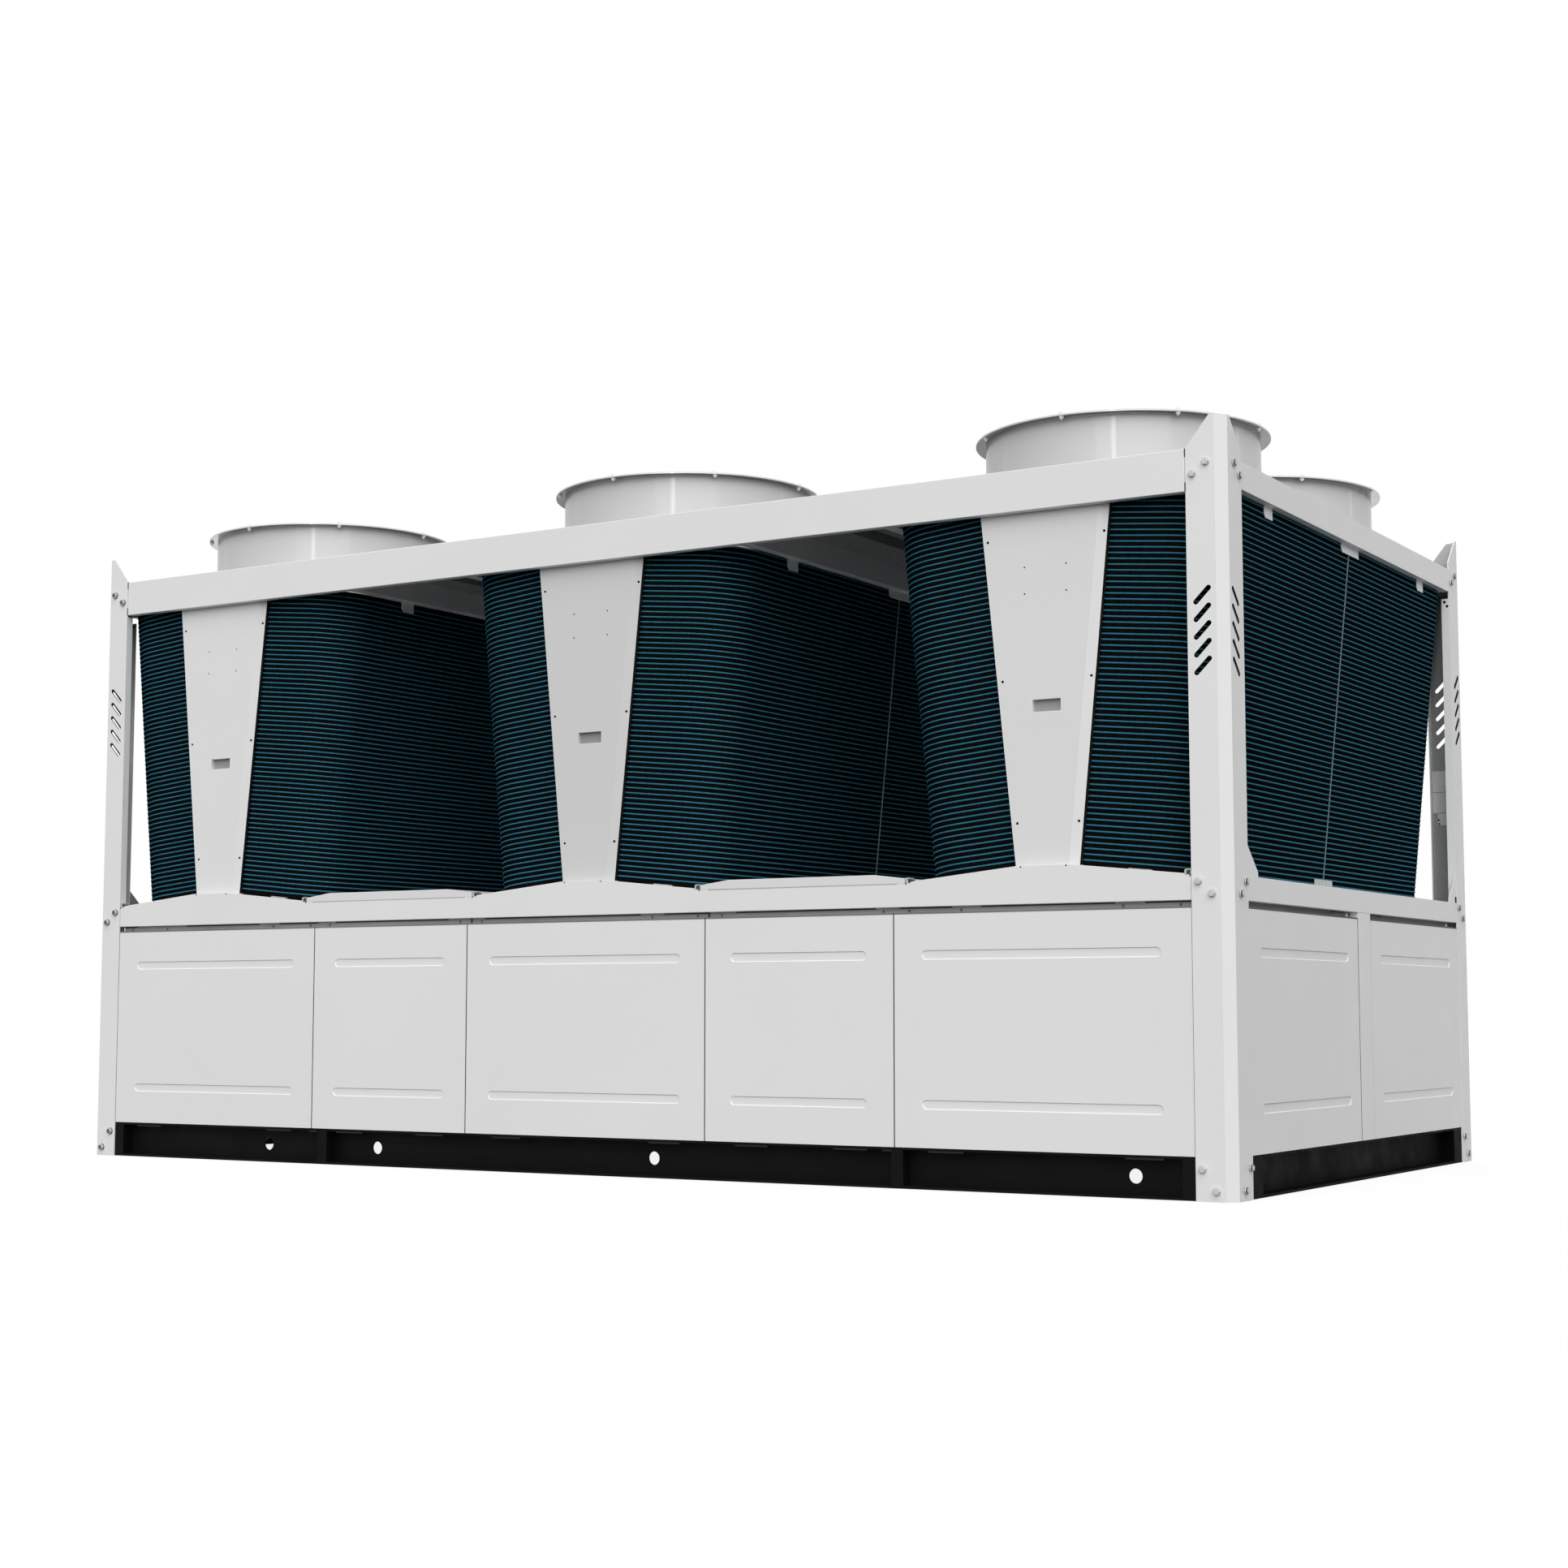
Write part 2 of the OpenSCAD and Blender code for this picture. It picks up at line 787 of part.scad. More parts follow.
// White covers that close the gap between the front legs of two coils
module coil_covers() {
    face_y = cover_inset - half_width;
    back_y = coil_inset - half_width;
    handle_z = pan_top + handle_above_pan;
    pocket = (back_y - face_y) * handle_pocket;
    color(paint)
        for (x = module_x)
            translate([x, 0, 0])
                difference() {
                    union() {
                        difference() {
                            along_y(face_y, back_y)
                                cover_outline(0, 0);
                            cover_fold_wedge(face_y);
                            difference() {
                                along_y(face_y + cover_sheet, back_y + cut)
                                    cover_outline(cover_sheet, cut);
                                cover_fold_wedge(face_y + cover_sheet);
                            }
                        }
                        box([-handle_width / 2 - cover_sheet, face_y, handle_z - handle_height / 2 - cover_sheet],
                            [handle_width / 2 + cover_sheet, face_y + pocket + cover_sheet,
                                handle_z + handle_height / 2 + cover_sheet]);
                    }
                    box([-handle_width / 2, face_y - cut, handle_z - handle_height / 2],
                        [handle_width / 2, face_y + pocket, handle_z + handle_height / 2]);
                }
}

// Top beams of the long sides and of the ends
module front_top_beam() {
    color(paint)
        union() {
            along_x(-front_end_x, front_end_x)
                translate([-half_width, 0])
                    channel_outline(top_beam_flange, top_beam_flange, top_beam_bottom, top_beam_top, post_sheet);
            front_tongue(top_beam_bottom + top_tongue_margin, deck_under - tongue_margin, post_sheet);
        }
}

module end_top_beam() {
    color(paint)
        union() {
            along_y(-end_end_y, end_end_y)
                translate([half_length, 0])
                    mirror([1, 0])
                        channel_outline(half_length - module_pitch - rail_inner_x, rail_width,
                            rail_bottom, deck_under, rail_sheet);
            end_tongue(rail_bottom + tongue_margin, deck_under - tongue_margin, rail_sheet);
            translate([module_pitch, 0, 0])
                coil_tabs();
        }
}

// Tabs that hang from a rail in front of the coil tops, for a module in the middle
module coil_tabs() {
    face_x = coil_outer_top_x + tab_gap;
    tab_y = half_width - tab_inset;
    along_x(face_x, face_x + rail_sheet) {
        coil_tab(0, seam_tab_width, seam_tab_drop);
        coil_tab(-tab_y, tab_width, tab_drop);
        coil_tab(tab_y, tab_width, tab_drop);
    }
}

module coil_tab(y, width, drop) {
    low = rail_bottom - drop;
    polygon([
        [y - width / 2, rail_bottom + rail_sheet],
        [y - width / 2, low + tab_corner],
        [y - width / 2 + tab_corner, low],
        [y + width / 2, low],
        [y + width / 2, rail_bottom + rail_sheet]
    ]);
}

// Rails above the coil sides that face another module
module deck_rails() {
    color(paint)
        for (place = inner_sides)
            on_inner_side(place)
                union() {
                    along_y(-web_y, web_y)
                        translate([rail_outer_x, 0])
                            mirror([1, 0])
                                channel_outline(rail_width, rail_width, rail_bottom, deck_under, rail_sheet);
                    coil_tabs();
                }
}

// Plan outline of the whole roof with its corners cut clear of the posts
module roof_outline() {
    corner = post_chamfer + beam_gap;
    polygon([
        [-web_x + corner, -web_y],
        [web_x - corner, -web_y],
        [web_x, -web_y + corner],
        [web_x, web_y - corner],
        [web_x - corner, web_y],
        [-web_x + corner, web_y],
        [-web_x, web_y - corner],
        [-web_x, -web_y + corner]
    ]);
}

module deck_bay(x) {
    joint = module_pitch / 2 - beam_gap / 2;
    low_x = x < 0 ? -half_length : x - joint;
    high_x = x > 0 ? half_length : x + joint;
    edge_low = deck_under - deck_edge;
    edge_y = half_width - top_beam_flange - 2 * beam_gap;
    color(paint) {
        difference() {
            union() {
                translate([0, 0, deck_under])
                    linear_extrude(height = deck_sheet)
                        intersection() {
                            roof_outline();
                            translate([low_x, -half_width])
                                square([high_x - low_x, unit_width]);
                        }
                if (x >= 0)
                    box([low_x, -edge_y, edge_low], [low_x + deck_sheet, edge_y, deck_top]);
                if (x <= 0)
                    box([high_x - deck_sheet, -edge_y, edge_low], [high_x, edge_y, deck_top]);
            }
            for (y = [-fan_y, fan_y])
                translate([x, y, deck_under - cut])
                    cylinder(h = deck_sheet + 2 * cut, r = cowl_inner);
        }
    }
}

// Fan cowl: foot flange on the deck, straight wall and flat top flange
module cowl(x, y) {
    color(paint)
        translate([x, y, deck_top])
            rotate_extrude($fn = 96)
                union() {
                    translate([cowl_inner, 0])
                        square([cowl_sheet, cowl_height]);
                    translate([cowl_inner, 0])
                        square([cowl_foot_radius - cowl_inner, cowl_flange]);
                    translate([cowl_inner, cowl_height - cowl_flange])
                        square([cowl_flange_radius - cowl_inner, cowl_flange]);
                }
}

// Guard of flat rings and spokes inside the top of a cowl
module guard(x, y) {
    ring_pitch = (cowl_inner - guard_plate_radius) / (guard_rings + 1);
    color(base_black)
        translate([x, y, guard_z])
            union() {
                cylinder(h = guard_wire, r = guard_plate_radius);
                for (i = [1 : guard_rings + 1])
                    guard_ring(guard_plate_radius + i * ring_pitch);
                for (i = [0 : 3])
                    rotate([0, 0, 45 * i])
                        box([-cowl_inner + guard_wire / 2, -guard_wire / 2, 0],
                            [cowl_inner - guard_wire / 2, guard_wire / 2, guard_wire]);
            }
}

module guard_ring(outer) {
    difference() {
        cylinder(h = guard_wire, r = outer);
        translate([0, 0, -cut])
            cylinder(h = guard_wire + 2 * cut, r = outer - guard_wire);
    }
}

// Fan blade: cambered sections wrapped round the axis, lofted from hub to tip
blade_sections = 6;
blade_points = 5;
blade_sink = 6;
blade_root = hub_radius - blade_sink;
blade_tip = cowl_inner - tip_gap;
root_chord = 150;
tip_chord = 220;
root_pitch = 36;
tip_pitch = 20;
camber_share = 0.28;
edge_share = 0.04;
motor_radius = 0.8 * guard_plate_radius;
function along_blade(i, from, to) = from + (to - from) * i / (blade_sections - 1);
function blade_radius(i) = along_blade(i, blade_root, blade_tip);
function blade_chord(i) = along_blade(i, root_chord, tip_chord);
function blade_pitch(i) = along_blade(i, root_pitch, tip_pitch);
function blade_camber(u, chord) = camber_share * chord * u * (1 - u);
function blade_half(u) = blade_thickness / 2 * sqrt(max(edge_share, 4 * u * (1 - u)));
function blade_point(i, u, side) =
    let (
        chord = blade_chord(i),
        along = (u - 0.5) * chord,
        lift = blade_camber(u, chord) + side * blade_half(u),
        arc = along * cos(blade_pitch(i)) - lift * sin(blade_pitch(i)),
        rise = along * sin(blade_pitch(i)) + lift * cos(blade_pitch(i)),
        turn = arc / blade_radius(i) * 180 / PI
    )
    [blade_radius(i) * cos(turn), blade_radius(i) * sin(turn), rise];
function blade_ring(i) = concat(
    [for (k = [0 : blade_points - 1]) blade_point(i, k / (blade_points - 1), -1)],
    [for (k = [blade_points - 1 : -1 : 0]) blade_point(i, k / (blade_points - 1), 1)]
);

module blade() {
    count = 2 * blade_points;
    last = (blade_sections - 1) * count;
    polyhedron(
        points = [for (i = [0 : blade_sections - 1]) each blade_ring(i)],
        faces = concat(
            [[for (k = [0 : count - 1]) k]],
            [for (i = [0 : blade_sections - 2], k = [0 : count - 1])
                each [
                    [i * count + k, (i + 1) * count + k, (i + 1) * count + (k + 1) % count],
                    [i * count + k, (i + 1) * count + (k + 1) % count, i * count + (k + 1) % count]
                ]],
            [[for (k = [count - 1 : -1 : 0]) last + k]]
        )
    );
}

module fan(x, y) {
    hub_top = guard_z - motor_height;
    color(base_black)
        translate([x, y, hub_top])
            union() {
                translate([0, 0, -hub_height])
                    cylinder(h = hub_height, r = hub_radius);
                cylinder(h = motor_height, r = motor_radius);
                for (i = [0 : blade_count - 1])
                    rotate([0, 0, 360 / blade_count * i])
                        translate([0, 0, -hub_height / 2])
                            blade();
            }
}

on_row("front") long_base_rail();  // base_front_rail
on_row("rear") long_base_rail();  // base_rear_rail
on_end("left") end_base_rail();  // base_left_rail
on_end("right") end_base_rail();  // base_right_rail
base_cross_members();
corner_post(false, true);  // post_front_left
corner_post(true, true);  // post_front_right
corner_post(false, false);  // post_rear_left
corner_post(true, false);  // post_rear_right
on_row("front") long_panels();  // front_panels
on_row("rear") long_panels();  // rear_panels
on_end("left") end_panels();  // left_panels
on_end("right") end_panels();  // right_panels
on_row("front") front_mid_beam();  // mid_beam_front
on_row("rear") front_mid_beam();  // mid_beam_rear
on_end("left") end_mid_beam();  // mid_beam_left
on_end("right") end_mid_beam();  // mid_beam_right
mid_cross_beams();
for (i = [0 : 2]) {
    drain_pan(module_x[i]);
    coils(module_x[i]);
    deck_bay(module_x[i]);
    cowl(module_x[i], -fan_y);
    cowl(module_x[i], fan_y);
    for (y = [-fan_y, fan_y]) guard(module_x[i], y);
    for (y = [-fan_y, fan_y]) fan(module_x[i], y);
}
valley_covers();
on_row("front") coil_covers();  // coil_covers_front
on_row("rear") coil_covers();  // coil_covers_rear
on_row("front") front_top_beam();  // top_beam_front
on_row("rear") front_top_beam();  // top_beam_rear
on_end("left") end_top_beam();  // top_beam_left
on_end("right") end_top_beam();  // top_beam_right
deck_rails();
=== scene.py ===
import json
import math

import bmesh
import bpy
from mathutils import Matrix, Vector


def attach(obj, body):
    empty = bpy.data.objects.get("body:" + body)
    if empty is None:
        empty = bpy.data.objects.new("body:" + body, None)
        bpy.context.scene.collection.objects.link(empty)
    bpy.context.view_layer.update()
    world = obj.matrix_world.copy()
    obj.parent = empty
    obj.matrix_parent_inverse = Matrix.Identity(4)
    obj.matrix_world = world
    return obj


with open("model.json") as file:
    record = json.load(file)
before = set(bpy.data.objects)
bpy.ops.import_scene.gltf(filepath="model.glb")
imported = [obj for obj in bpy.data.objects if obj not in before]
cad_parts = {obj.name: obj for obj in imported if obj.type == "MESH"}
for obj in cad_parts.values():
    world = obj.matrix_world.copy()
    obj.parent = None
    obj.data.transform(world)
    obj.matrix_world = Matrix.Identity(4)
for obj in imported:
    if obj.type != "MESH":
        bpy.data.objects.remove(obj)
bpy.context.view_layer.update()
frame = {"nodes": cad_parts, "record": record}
nodes = frame["nodes"]

MM = 0.001
X_AXIS, Y_AXIS, Z_AXIS = range(3)

# Signs of the left and right end, and of the front and rear row
BOTH = (-1.0, 1.0)
REAR = 1.0
CORNERS = [(end, row) for end in BOTH for row in BOTH]


def node_span(name, axis):
    """Lowest and highest coordinate of a solid along an axis, in millimetres."""
    node = nodes[name]
    values = [(node.matrix_world @ vertex.co)[axis] / MM for vertex in node.data.vertices]
    return round(min(values), 1), round(max(values), 1)


# Camera of the photograph, solved from the unit's edges: metres and degrees
CAMERA_PLACE = Vector((4.6996, -7.5759, 0.5187))
CAMERA_AZIMUTH = 31.4603
CAMERA_ELEVATION = -5.2827
CAMERA_LENS = 56.593
CAMERA_SENSOR = 36.0
CAMERA_FAR = 400.0

# Main sizes of the unit in millimetres, from the solids
HALF_LENGTH = node_span("mid_beam_right", X_AXIS)[1]
HALF_WIDTH = node_span("mid_beam_rear", Y_AXIS)[1]
MODULE_PITCH = sum(node_span("cowl_right_rear", X_AXIS)) / 2
MODULES = (("left", -MODULE_PITCH), ("middle", 0.0), ("right", MODULE_PITCH))

# Coils, drain pans and coil covers, with the same sizes as the solids
COIL_TILT = math.radians(5.8)
COIL_HEIGHT = 1100.0
COIL_WIDTH = 356.0
COIL_BEND = 150.0
COIL_START = 8.0
COIL_INSET = HALF_WIDTH - node_span("coils_middle", Y_AXIS)[1]
COIL_SEAM = 6.0
PAN_FLAT = 80.0
PAN_SHEET = 3.0
PAN_MARGIN = 4.0
MID_TOP = node_span("drain_pan_middle", Z_AXIS)[0]
PAN_EDGE = PAN_FLAT + COIL_WIDTH * math.cos(COIL_TILT) + PAN_MARGIN
PAN_TOP = MID_TOP + PAN_SHEET + (PAN_EDGE - PAN_FLAT) * math.tan(COIL_TILT)
COVER_INSET = HALF_WIDTH - node_span("coil_covers_rear", Y_AXIS)[1]
COVER_OVERLAP = 15.0
COVER_EDGE = PAN_FLAT + (COIL_START + COVER_OVERLAP) / math.cos(COIL_TILT)
COVER_FOLD = 37.0
COVER_FOLD_ANGLE = math.radians(16.0)

# Cabinet and posts
PANEL_TOP = node_span("rear_panels", Z_AXIS)[1]
PANEL_INSET = 2.0
PANEL_GAP = 4.0
RECESS_HEIGHT = 17.0
RECESS_DEPTH = 27.0
MID_BOTTOM = PANEL_TOP + RECESS_HEIGHT
POST_EDGE = node_span("post_rear_right", X_AXIS)[0]
POST_GAP = 2.0
POST_SHEET = 4.0
LIP_EDGE = node_span("post_rear_right", Y_AXIS)[0]
BEAM_END = POST_EDGE - POST_GAP
PANEL_SEAMS = (-POST_EDGE, -1143.0, -472.0, 472.0, 1143.0, POST_EDGE)
END_SEAMS = (60.0, LIP_EDGE)
BASE_TOP = node_span("base_rear_rail", Z_AXIS)[1]
BASE_INSET = HALF_WIDTH - node_span("base_rear_rail", Y_AXIS)[1]
BASE_SHEET = 8.0

# Roof
FAN_Y = sum(node_span("cowl_right_rear", Y_AXIS)) / 2
COWL_FOOT, COWL_TOP = node_span("cowl_right_rear", Z_AXIS)
COWL_FLANGE = 5.0
DECK_UNDER = node_span("deck_rails", Z_AXIS)[1]
TOP_BEAM = node_span("top_beam_rear", Z_AXIS)


def scaled(value, share):
    return (value[0] * share, value[1] * share, value[2] * share, 1.0)


def grey(value):
    return (value, value, value, 1.0)


# Materials
class Shader:
    """A new material with short calls for its nodes."""

    def __init__(self, name):
        self.material = bpy.data.materials.new(name)
        self.material.use_nodes = True
        self.tree = self.material.node_tree
        self.tree.nodes.clear()
        self.output = self.add("ShaderNodeOutputMaterial")
        self.bsdf = self.add("ShaderNodeBsdfPrincipled")
        self.link(self.bsdf.outputs["BSDF"], self.output.inputs["Surface"])
        coordinates = self.add("ShaderNodeTexCoord")
        self.place = coordinates.outputs["Object"]
        self.normal = coordinates.outputs["Normal"]
        self.tone = None

    def add(self, kind, **settings):
        node = self.tree.nodes.new(kind)
        for key, value in settings.items():
            setattr(node, key, value)
        return node

    def link(self, source, target):
        self.tree.links.new(source, target)

    def set(self, **values):
        for key, value in values.items():
            self.bsdf.inputs[key.replace("_", " ")].default_value = value

    def drive(self, name, source):
        """Links an input of the surface to a socket."""
        self.link(source, self.bsdf.inputs[name])

    def tint(self, tone):
        """Gives the surface its colour, and keeps the socket for later mixing."""
        self.tone = tone
        self.drive("Base Color", tone)

    def calculate(self, operation, *values):
        """Result of a sum; each value is a socket or a plain number."""
        node = self.add("ShaderNodeMath", operation=operation)
        for target, value in zip(node.inputs, values):
            if isinstance(value, float):
                target.default_value = value
            else:
                self.link(value, target)
        return node.outputs[0]

    def product(self, one, two):
        node = self.add("ShaderNodeVectorMath", operation="MULTIPLY")
        self.link(one, node.inputs[0])
        self.link(two, node.inputs[1])
        return node.outputs["Vector"]

    def mix(self, factor, one, two):
        """One colour where the factor is 0, the other where it is 1."""
        node = self.add("ShaderNodeMixRGB")
        for target, source in zip(node.inputs, (factor, one, two)):
            self.link(source, target)
        return node.outputs["Color"]

    def axis(self, vector, name):
        split = self.add("ShaderNodeSeparateXYZ")
        self.link(vector, split.inputs["Vector"])
        return split.outputs[name]

    def level(self, axis, span):
        """One coordinate of the place as a share of a range in metres."""
        share = self.add("ShaderNodeMapRange")
        share.inputs["From Min"].default_value = span[0]
        share.inputs["From Max"].default_value = span[1]
        self.link(self.axis(self.place, axis), share.inputs["Value"])
        return share.outputs["Result"]

    def stretched(self, scale):
        mapping = self.add("ShaderNodeMapping")
        mapping.inputs["Scale"].default_value = scale
        self.link(self.place, mapping.inputs["Vector"])
        return mapping.outputs["Vector"]

    def noise(self, scale, detail=3.0, roughness=0.55, stretch=None):
        node = self.add("ShaderNodeTexNoise")
        node.inputs["Scale"].default_value = scale
        node.inputs["Detail"].default_value = detail
        node.inputs["Roughness"].default_value = roughness
        source = self.stretched(stretch) if stretch else self.place
        self.link(source, node.inputs["Vector"])
        return node.outputs["Fac"]

    def ramp(self, factor, stops, blend="LINEAR"):
        node = self.add("ShaderNodeValToRGB")
        node.color_ramp.interpolation = blend
        elements = node.color_ramp.elements
        while len(elements) < len(stops):
            elements.new(0.5)
        for element, (position, value) in zip(elements, stops):
            element.position = position
            element.color = value
        self.link(factor, node.inputs["Fac"])
        return node.outputs["Color"]

    def greys(self, factor, low, high, start=0.3, end=0.7):
        return self.ramp(factor, [(start, grey(low)), (end, grey(high))])

    def bump(self, height, strength, distance):
        node = self.add("ShaderNodeBump")
        node.inputs["Strength"].default_value = strength
        node.inputs["Distance"].default_value = distance
        self.link(height, node.inputs["Height"])
        self.drive("Normal", node.outputs["Normal"])


# Grain of the coats: noise scales of tone, gloss and orange peel, and the relief of the peel in metres
CLOUD_SCALE = 1.7
GLOSS_SCALE = 9.0
PEEL_SCALE = 420.0
PEEL_STRENGTH = 0.06
PEEL_RELIEF = 0.0006

# Tones of the white coats, and the range of roughness and spread of tone of white and matt ones
CABINET_TONE = (0.765, 0.765, 0.762, 1.0)
COVER_TONE = (0.71, 0.71, 0.708, 1.0)
COWL_TONE = (0.59, 0.59, 0.59, 1.0)
WHITE_GLOSS = (0.44, 0.56)
WHITE_SPREAD = 0.012
COWL_GLOSS = (0.40, 0.50)
MATT_GLOSS = (0.5, 0.68)
MATT_SPREAD = 0.16


def add_peel(shader):
    shader.bump(shader.noise(PEEL_SCALE, detail=2.0), PEEL_STRENGTH, PEEL_RELIEF)


def powder_coat(name, value, gloss, spread):
    """Powder coat: faint cloudy tone, fine orange peel and uneven gloss."""
    shader = Shader(name)
    cloud = shader.noise(CLOUD_SCALE, detail=4.0)
    shader.tint(shader.ramp(cloud, [(0.3, scaled(value, 1.0 - spread)), (0.7, scaled(value, 1.0 + spread))]))
    shader.drive("Roughness", shader.greys(shader.noise(GLOSS_SCALE), *gloss))
    add_peel(shader)
    return shader


def white_coat(name, value):
    shader = powder_coat(name, value, WHITE_GLOSS, WHITE_SPREAD)
    shader.set(Specular_IOR_Level=0.3, Coat_Weight=0.1, Coat_Roughness=0.09)
    return shader


def matt_paint(name, value, specular):
    shader = powder_coat(name, value, MATT_GLOSS, MATT_SPREAD)
    shader.set(Specular_IOR_Level=specular)
    return shader.material


# Shares of the cover paint's tone from each X in metres on: the flat sheet, and its folded edge, which is a
# painted shade, darker than the flat sheet on the left and middle covers
COVER_RANGE = (-2.2, 2.2)
COVER_STARTS = (-2.2, -1.4, -0.3, 0.3)
COVER_FLAT_SHARES = (1.06, 1.0, 0.885, 1.0)
COVER_FOLD_SHADE_SHARES = (1.0, 1.0, 0.835, 1.0)
FOLD_NORMAL = 0.1


def cover_paint_with_fold_shade():
    """Slightly greyer coat of the set-back covers, a little different on each module, with a painted shade on
    the folded edges of the left and middle covers.
    """
    shader = white_coat("cover_paint_with_fold_shade", COVER_TONE)
    level = shader.level("X", COVER_RANGE)
    low, high = COVER_RANGE
    spots = [(start - low) / (high - low) for start in COVER_STARTS]
    tones = []
    for shares in (COVER_FLAT_SHARES, COVER_FOLD_SHADE_SHARES):
        stops = [(spot, grey(share)) for spot, share in zip(spots, shares)]
        tones.append(shader.ramp(level, stops, "CONSTANT"))
    # Faces of the folded edges, which take the painted shade of the fold shares
    shaded_fold = shader.calculate("GREATER_THAN", shader.axis(shader.normal, "X"), FOLD_NORMAL)
    shader.tint(shader.product(shader.tone, shader.mix(shaded_fold, *tones)))
    return shader.material


# Top of a cowl in millimetres, with shares of its paint's tone and of bare metal at shares of that height;
# the tone shares are a painted shade on the top of the wall and the underside of the top flange, and a
# painted highlight on its rim
COWL_RIM = 40.0
COWL_PAINTED_LIGHT_SHARES = ((0.0, 1.0), (0.3, 1.0), (0.84, 0.8), (0.866, 0.6), (0.884, 0.6), (0.905, 1.2))
COWL_BARE = ((0.85, 0.0), (0.866, 1.0), (0.884, 1.0), (0.9, 0.0))
BARE_SMOOTHING = -0.25


def cowl_paint_with_painted_light():
    """Greyer and glossier coat of the fan cowls, with a bare metal underside of the top flange, a painted
    shade under that flange and on its underside, and a painted highlight on its rim.
    """
    shader = Shader("cowl_paint_with_painted_light")
    level = shader.level("Z", ((COWL_TOP - COWL_RIM) * MM, COWL_TOP * MM))
    # Painted shade on the top of the wall and the flange's underside, painted highlight on the rim
    shader.tint(shader.ramp(level, [(spot, scaled(COWL_TONE, share)) for spot, share in COWL_PAINTED_LIGHT_SHARES]))
    bare = shader.ramp(level, [(spot, grey(share)) for spot, share in COWL_BARE])
    shader.drive("Metallic", bare)
    rough = shader.greys(shader.noise(GLOSS_SCALE), *COWL_GLOSS)
    shader.drive("Roughness", shader.calculate("MULTIPLY_ADD", bare, BARE_SMOOTHING, rough))
    add_peel(shader)
    shader.set(Specular_IOR_Level=0.25, Coat_Weight=0.4, Coat_Roughness=0.07)
    return shader.material


# Bounds of the outward normal times the place, in metres, past which a face lies on the inside of a post
INNER_BOUNDS = {"X": -2.19, "Y": -1.125}
# Tone of the painted shade on the inner faces of the posts, below and above the top beams, with the heights
# in metres between which it changes
INNER_SHADE_RANGE = (2.09, 2.13)
INNER_SHADE_TONES = (0.27, 0.45)


def inner_faces(shader):
    """A factor of 1 on the inner faces of the post flanges."""
    outward = shader.product(shader.normal, shader.place)
    inside = []
    for axis, bound in INNER_BOUNDS.items():
        inside.append(shader.calculate("LESS_THAN", shader.axis(outward, axis), bound))
    return shader.calculate("MAXIMUM", *inside)


def post_paint_with_inner_shade():
    """Cabinet paint, with a grey painted shade on the inner faces of the posts, darker below the top beams.
    """
    shader = white_coat("post_paint_with_inner_shade", CABINET_TONE)
    # Painted shade on the inner faces of the posts
    inner_shade = shader.greys(shader.level("Z", INNER_SHADE_RANGE), *INNER_SHADE_TONES, 0.0, 1.0)
    shader.tint(shader.mix(inner_faces(shader), shader.tone, inner_shade))
    return shader.material


def fin_material():
    """Dark louvred fins between the tubes: fine upright lines with hardly any sheen."""
    shader = Shader("coil_fins")
    wave = shader.noise(scale=1.0, detail=1.0, roughness=0.4, stretch=(900.0, 900.0, 24.0))
    dark = (0.0026, 0.0026, 0.0027, 1.0)
    light = (0.0064, 0.0064, 0.0066, 1.0)
    shader.tint(shader.ramp(wave, [(0.35, dark), (0.75, light)]))
    shader.set(Roughness=0.9, Specular_IOR_Level=0.0)
    shader.bump(wave, strength=0.35, distance=0.0012)
    return shader.material


def tube_material():
    """Blue-green coated tube edges with a slightly uneven coat."""
    shader = Shader("coil_tubes")
    patch = shader.noise(scale=60.0, detail=3.0, roughness=0.6, stretch=(1.0, 1.0, 2.0))
    dark = (0.023, 0.130, 0.198, 1.0)
    light = (0.035, 0.182, 0.265, 1.0)
    shader.tint(shader.ramp(patch, [(0.3, dark), (0.75, light)]))
    shader.set(Roughness=0.75, Specular_IOR_Level=0.03)
    shader.bump(shader.noise(scale=700.0, detail=2.0), strength=0.12, distance=0.0004)
    return shader.material


def metal_material(name, value, gloss, spangle, metallic):
    """Zinc-coated steel: spangled tone and streaky gloss."""
    shader = Shader(name)
    cells = shader.add("ShaderNodeTexVoronoi")
    cells.inputs["Scale"].default_value = spangle
    shader.link(shader.place, cells.inputs["Vector"])
    stops = [(0.1, scaled(value, 0.85)), (0.8, scaled(value, 1.12))]
    shader.tint(shader.ramp(cells.outputs["Distance"], stops))
    streaks = shader.noise(scale=40.0)
    shader.drive("Roughness", shader.greys(streaks, *gloss))
    shader.set(Metallic=metallic)
    shader.bump(streaks, strength=0.05, distance=0.0005)
    return shader.material


PAINT = white_coat("cabinet_paint", CABINET_TONE).material
POST = post_paint_with_inner_shade()
COVER = cover_paint_with_fold_shade()
COWL = cowl_paint_with_painted_light()
BLACK = matt_paint("base_paint", (0.0030, 0.0030, 0.0033, 1.0), 0.07)
# Black lightened as a painted highlight on the panel hooks
BLACK_HOOK_HIGHLIGHT = matt_paint("base_hook_painted_highlight", (0.018, 0.018, 0.019, 1.0), 0.1)
GUARD = matt_paint("guard_coating", (0.022, 0.022, 0.024, 1.0), 0.3)
PLASTIC = matt_paint("fan_plastic", (0.030, 0.031, 0.033, 1.0), 0.3)
BASE_END = matt_paint("base_end_paint", (0.0030, 0.0030, 0.0033, 1.0), 0.02)
# Near black: a painted shade in holes, slot walls and notches, and the colour of the bracket screws and cover
# edge strips
HOLE = matt_paint("dark_hole", (0.006, 0.006, 0.006, 1.0), 0.02)
# Dark grey of the painted shade in the recess slots and the gaps beside the posts, also the dark inside of
# the pan lip ends
GAP = matt_paint("dark_gap", (0.055, 0.056, 0.056, 1.0), 0.05)
